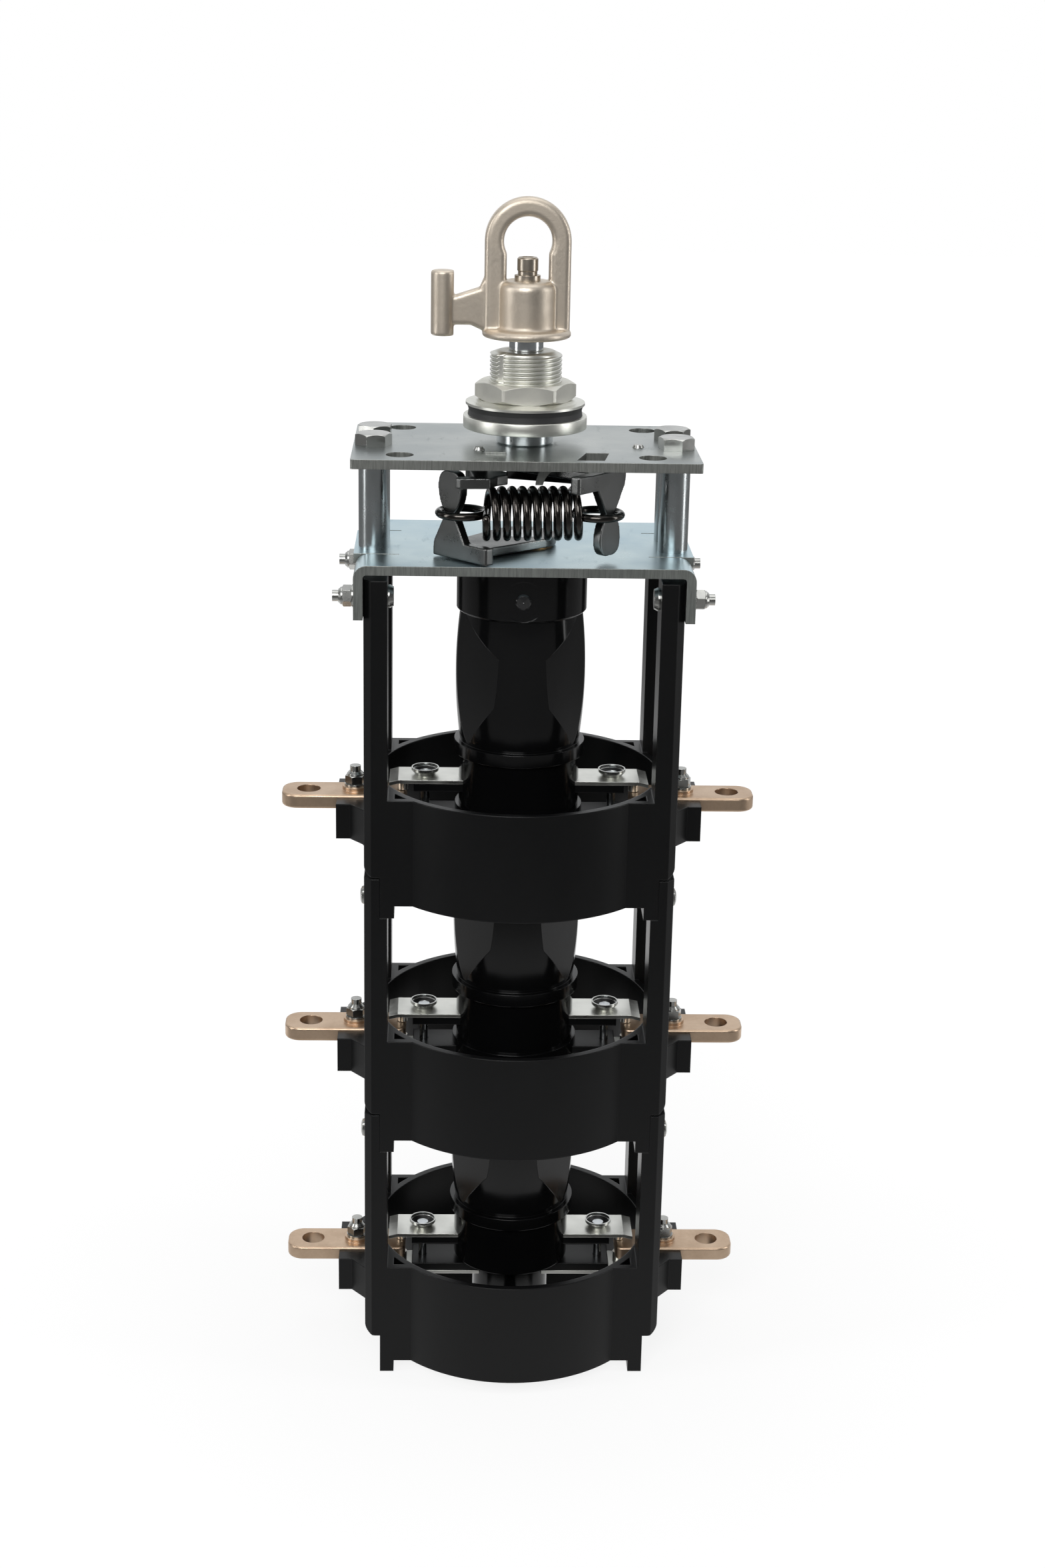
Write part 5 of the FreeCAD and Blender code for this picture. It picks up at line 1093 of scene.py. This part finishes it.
@dataclass
class Studio:
    """Camera, lamps, floor and surroundings.

    Attributes:
        eye: Camera place in metres.
        yaw: Turn of the view to the right, in degrees.
        pitch: Tilt of the view downwards, in degrees.
        roll: Turn of the picture, in degrees.
        film: Long side of the film in millimetres.
        lens: Focal length in millimetres.
        shift: Shift of the picture along its width.
        floor_white: Share of plain white in the floor by the object, as the eye sees it.
        floor_mirror: What the floor by the object adds to its brightness in reflections.
        floor_far: Brightness of the whole floor in reflections.
        floor_behind: What the floor beside and behind the object adds to it.
        shade_centre: Middle of the patch of floor in the shade of the lowest deck.
        shade_radius: Radius of that patch.
        mirror_level: Strength of the room in reflections.
        light_level: Strength of the room as light.
        floor_half: Half the floor's width in metres.
        floor_drop: How far the floor lies under the object.
        glow: Strength of plain white on the floor.
        near_span: Distances from the object over which its surroundings end.
        behind_span: Places along Y over which the floor behind begins.
        far_span: Distances over which the floor behind ends.
        pale: The floor's two mingled colours.
        shade: Colour of the patch in the shade.
        shade_blur: Width of that patch's edge.
        back_room: Where the room's back starts and is full, and its brightness.
        over_room: The same overhead.
        front_room: Brightness of the room in front.
        room_tint: Colour of the room.
        boxes: The lamps.
    """

    eye: Triple = (-0.0379, -1.2939, 0.7666)
    yaw: float = 2.076
    pitch: float = 18.294
    roll: float = 1.170
    film: float = 36.0
    lens: float = 56.24
    shift: float = -18.0 / 2352.0
    floor_white: float = 0.80
    floor_mirror: float = 0.42
    floor_far: float = 0.18
    floor_behind: float = 0.60
    shade_centre: Triple = (0.0, 0.007, 0.0)
    shade_radius: float = 0.073
    mirror_level: float = 1.0
    light_level: float = 0.45
    floor_half: float = 6.0
    floor_drop: float = 0.0002
    glow: float = 1.07
    near_span: Tuple[float, float] = (0.15, 0.8)
    behind_span: Tuple[float, float] = (0.0, 0.25)
    far_span: Tuple[float, float] = (1.0, 1.6)
    pale: Tuple[Colour, Colour] = ((0.82, 0.82, 0.82), (0.80, 0.80, 0.80))
    shade: Colour = (0.04, 0.04, 0.04)
    shade_blur: float = 0.003
    back_room: Triple = (0.05, 0.75, 0.80)
    over_room: Triple = (0.35, 0.95, 0.28)
    front_room: float = 0.08
    room_tint: Colour = (0.97, 0.985, 1.0)
    boxes: Tuple[SoftBox, ...] = (
        SoftBox("left_box", (-1.6, -0.5, 0.9), (0.0, 0.0, 0.35), (0.35, 1.5), 9.0),
        SoftBox("right_box", (1.6, -0.3, 0.8), (0.0, 0.0, 0.35), (0.30, 1.5), 8.0),
        SoftBox("top_box", (0.0, 0.1, 2.0), (0.0, 0.0, 0.4), (1.6, 1.4), 9.0),
        SoftBox("front_box", (-0.4, -1.8, 1.6), (0.0, 0.0, 0.45), (1.3, 1.0), 26.0),
    )

    def camera(self) -> None:
        """Set the camera where the photograph was taken from."""
        yaw, pitch, roll = (math.radians(v) for v in (self.yaw, self.pitch, self.roll))
        forward = Vector((math.sin(yaw) * math.cos(pitch), math.cos(yaw) * math.cos(pitch),
                          -math.sin(pitch)))
        right = Vector((math.cos(yaw), -math.sin(yaw), 0.0))
        down = forward.cross(right)
        across = right * math.cos(roll) - down * math.sin(roll)
        up = -(right * math.sin(roll) + down * math.cos(roll))
        data = bpy.data.cameras.new("camera")
        data.sensor_fit = "VERTICAL"
        data.sensor_height = self.film
        data.lens = self.lens
        data.shift_x = self.shift
        data.clip_end = 50.0
        camera = bpy.data.objects.new("camera", data)
        camera.matrix_world = Matrix((
            (across.x, up.x, -forward.x, self.eye[0]),
            (across.y, up.y, -forward.y, self.eye[1]),
            (across.z, up.z, -forward.z, self.eye[2]),
            (0.0, 0.0, 0.0, 1.0)))
        bpy.context.scene.collection.objects.link(camera)
        bpy.context.scene.camera = camera

    @staticmethod
    def lamp(box: SoftBox) -> None:
        """Add one soft box.

        Args:
            box: Its name, place, aim, size and power.
        """
        data = bpy.data.lights.new(box.name, "AREA")
        data.shape = "RECTANGLE"
        data.size, data.size_y = box.size
        data.energy = box.power
        lamp = bpy.data.objects.new(box.name, data)
        place = Vector(box.place)
        turn = (Vector(box.aim) - place).to_track_quat("-Z", "Y")
        lamp.matrix_world = Matrix.Translation(place) @ turn.to_matrix().to_4x4()
        bpy.context.scene.collection.objects.link(lamp)

    def floor(self) -> None:
        """Lay a wide pale floor that keeps the object's shadow.

        The eye sees it white, all the more so away from the object, but
        for the patch in the shade inside the lowest deck. In reflections it
        is brightest by the object.
        """
        half, under = self.floor_half, -self.floor_drop
        grid = np.array([[(-half, -half, under), (half, -half, under)],
                         [(-half, half, under), (half, half, under)]])
        floor = grid_mesh("studio_floor", grid, False, False)
        graph = Graph.material("studio_floor")
        grain = graph.noise(FLOOR_GRAIN)
        glow = graph.node("ShaderNodeEmission", {}, {"Color": WHITE, "Strength": self.glow})
        dim = graph.node("ShaderNodeEmission", {}, {"Color": BLACK, "Strength": 1.0})
        where = graph.coordinates()
        away = graph.length(where)
        near = 1.0 - graph.ramp(away, *self.near_span)
        back = graph.ramp(graph.part(where, "Y"), *self.behind_span)
        behind = back * (1.0 - graph.ramp(away, *self.far_span))
        inside = graph.node("ShaderNodeVectorMath", {"operation": "DISTANCE"},
                            {0: where, 1: self.shade_centre}, "Value")
        open_floor = graph.ramp(inside, self.shade_radius - self.shade_blur, self.shade_radius)
        white = graph.ray("Is Camera Ray") * open_floor * (1.0 - near * (1.0 - self.floor_white))
        colour = graph.mix(open_floor, self.shade, graph.mix(grain, *self.pale))
        diffuse = graph.node("ShaderNodeBsdfDiffuse", {}, {"Color": colour})
        lit = graph.blend(white, diffuse, glow)
        level = (near * self.floor_mirror + self.floor_far + behind * self.floor_behind).clamp()
        reflected = graph.blend(level, dim, glow)
        both = graph.blend(graph.ray("Is Glossy Ray"), lit, reflected)
        floor.data.materials.append(graph.close(both, "ShaderNodeOutputMaterial"))

    def world(self) -> None:
        """Surround the object with a bright backdrop and a dark room in front.

        The eye sees white everywhere. For light and for reflections the
        brightness rises from the front to the back, and again overhead.
        """
        world = bpy.data.worlds.new("studio")
        bpy.context.scene.world = world
        graph = Graph(world)
        where = graph.coordinates("Generated")
        back = graph.ramp(graph.part(where, "Y"), *self.back_room[:2]) * self.back_room[2]
        over = graph.ramp(graph.part(where, "Z"), *self.over_room[:2]) * self.over_room[2]
        bright = (back + over + self.front_room).clamp()
        mirror = graph.ray("Is Glossy Ray")
        level = bright * (mirror * self.mirror_level + (1.0 - mirror) * self.light_level)
        lit = graph.node("ShaderNodeBackground", {}, {"Color": self.room_tint, "Strength": level})
        seen = graph.node("ShaderNodeBackground", {}, {"Color": WHITE, "Strength": 1.0})
        graph.close(graph.blend(graph.ray("Is Camera Ray"), lit, seen), "ShaderNodeOutputWorld")

    def build(self) -> None:
        """Set up the whole studio."""
        self.camera()
        for box in self.boxes:
            self.lamp(box)
        self.floor()
        self.world()
        bpy.context.scene.view_settings.view_transform = "Standard"


class Wardrobe:
    """Gives every node and piece the finish of its material slot."""

    def __init__(self) -> None:
        """Make all the finishes once."""
        self.materials = {name: finish.build() for name, finish in FINISHES.items()}

    def dress(self, piece: bpy.types.Object, slot: str) -> None:
        """Put one finish on a piece.

        Args:
            piece: Object to dress.
            slot: Name of the finish.
        """
        slots = piece.data.materials
        if len(slots) == 0:
            slots.append(self.materials[slot])
        else:
            for index in range(len(slots)):
                slots[index] = self.materials[slot]

    def dress_nodes(self, nodes: Dict[str, bpy.types.Object], record: Dict[str, Any]) -> None:
        """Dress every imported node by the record.

        Args:
            nodes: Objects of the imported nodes, by name.
            record: The part's record.
        """
        for entry in record["subparts"]:
            finish = TINTED.get(entry["node"], entry["material_slot"])
            self.dress(nodes[entry["node"]], finish)
            LOG.info("dressed %s in %s", entry["node"], finish)


def main() -> None:
    """Build the switch's looks and its studio."""
    logging.basicConfig(level=logging.INFO)
    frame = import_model()
    nodes = frame["nodes"]
    wardrobe = Wardrobe()
    wardrobe.dress_nodes(nodes, frame["record"])
    hub = ThreadedHub().build()
    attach(hub, "base")
    wardrobe.dress(hub, "hub_aluminium")
    spring = DriveSpring().build()
    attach(spring, "spring")
    wardrobe.dress(spring, "spring_steel")
    castings = Castings()
    softened = castings.build(nodes)
    for node, _, _, slot, body in castings.pieces:
        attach(softened[node], body)
        wardrobe.dress(softened[node], slot)
    Studio().build()
    bpy.context.view_layer.update()


if __name__ == "__main__":
    main()
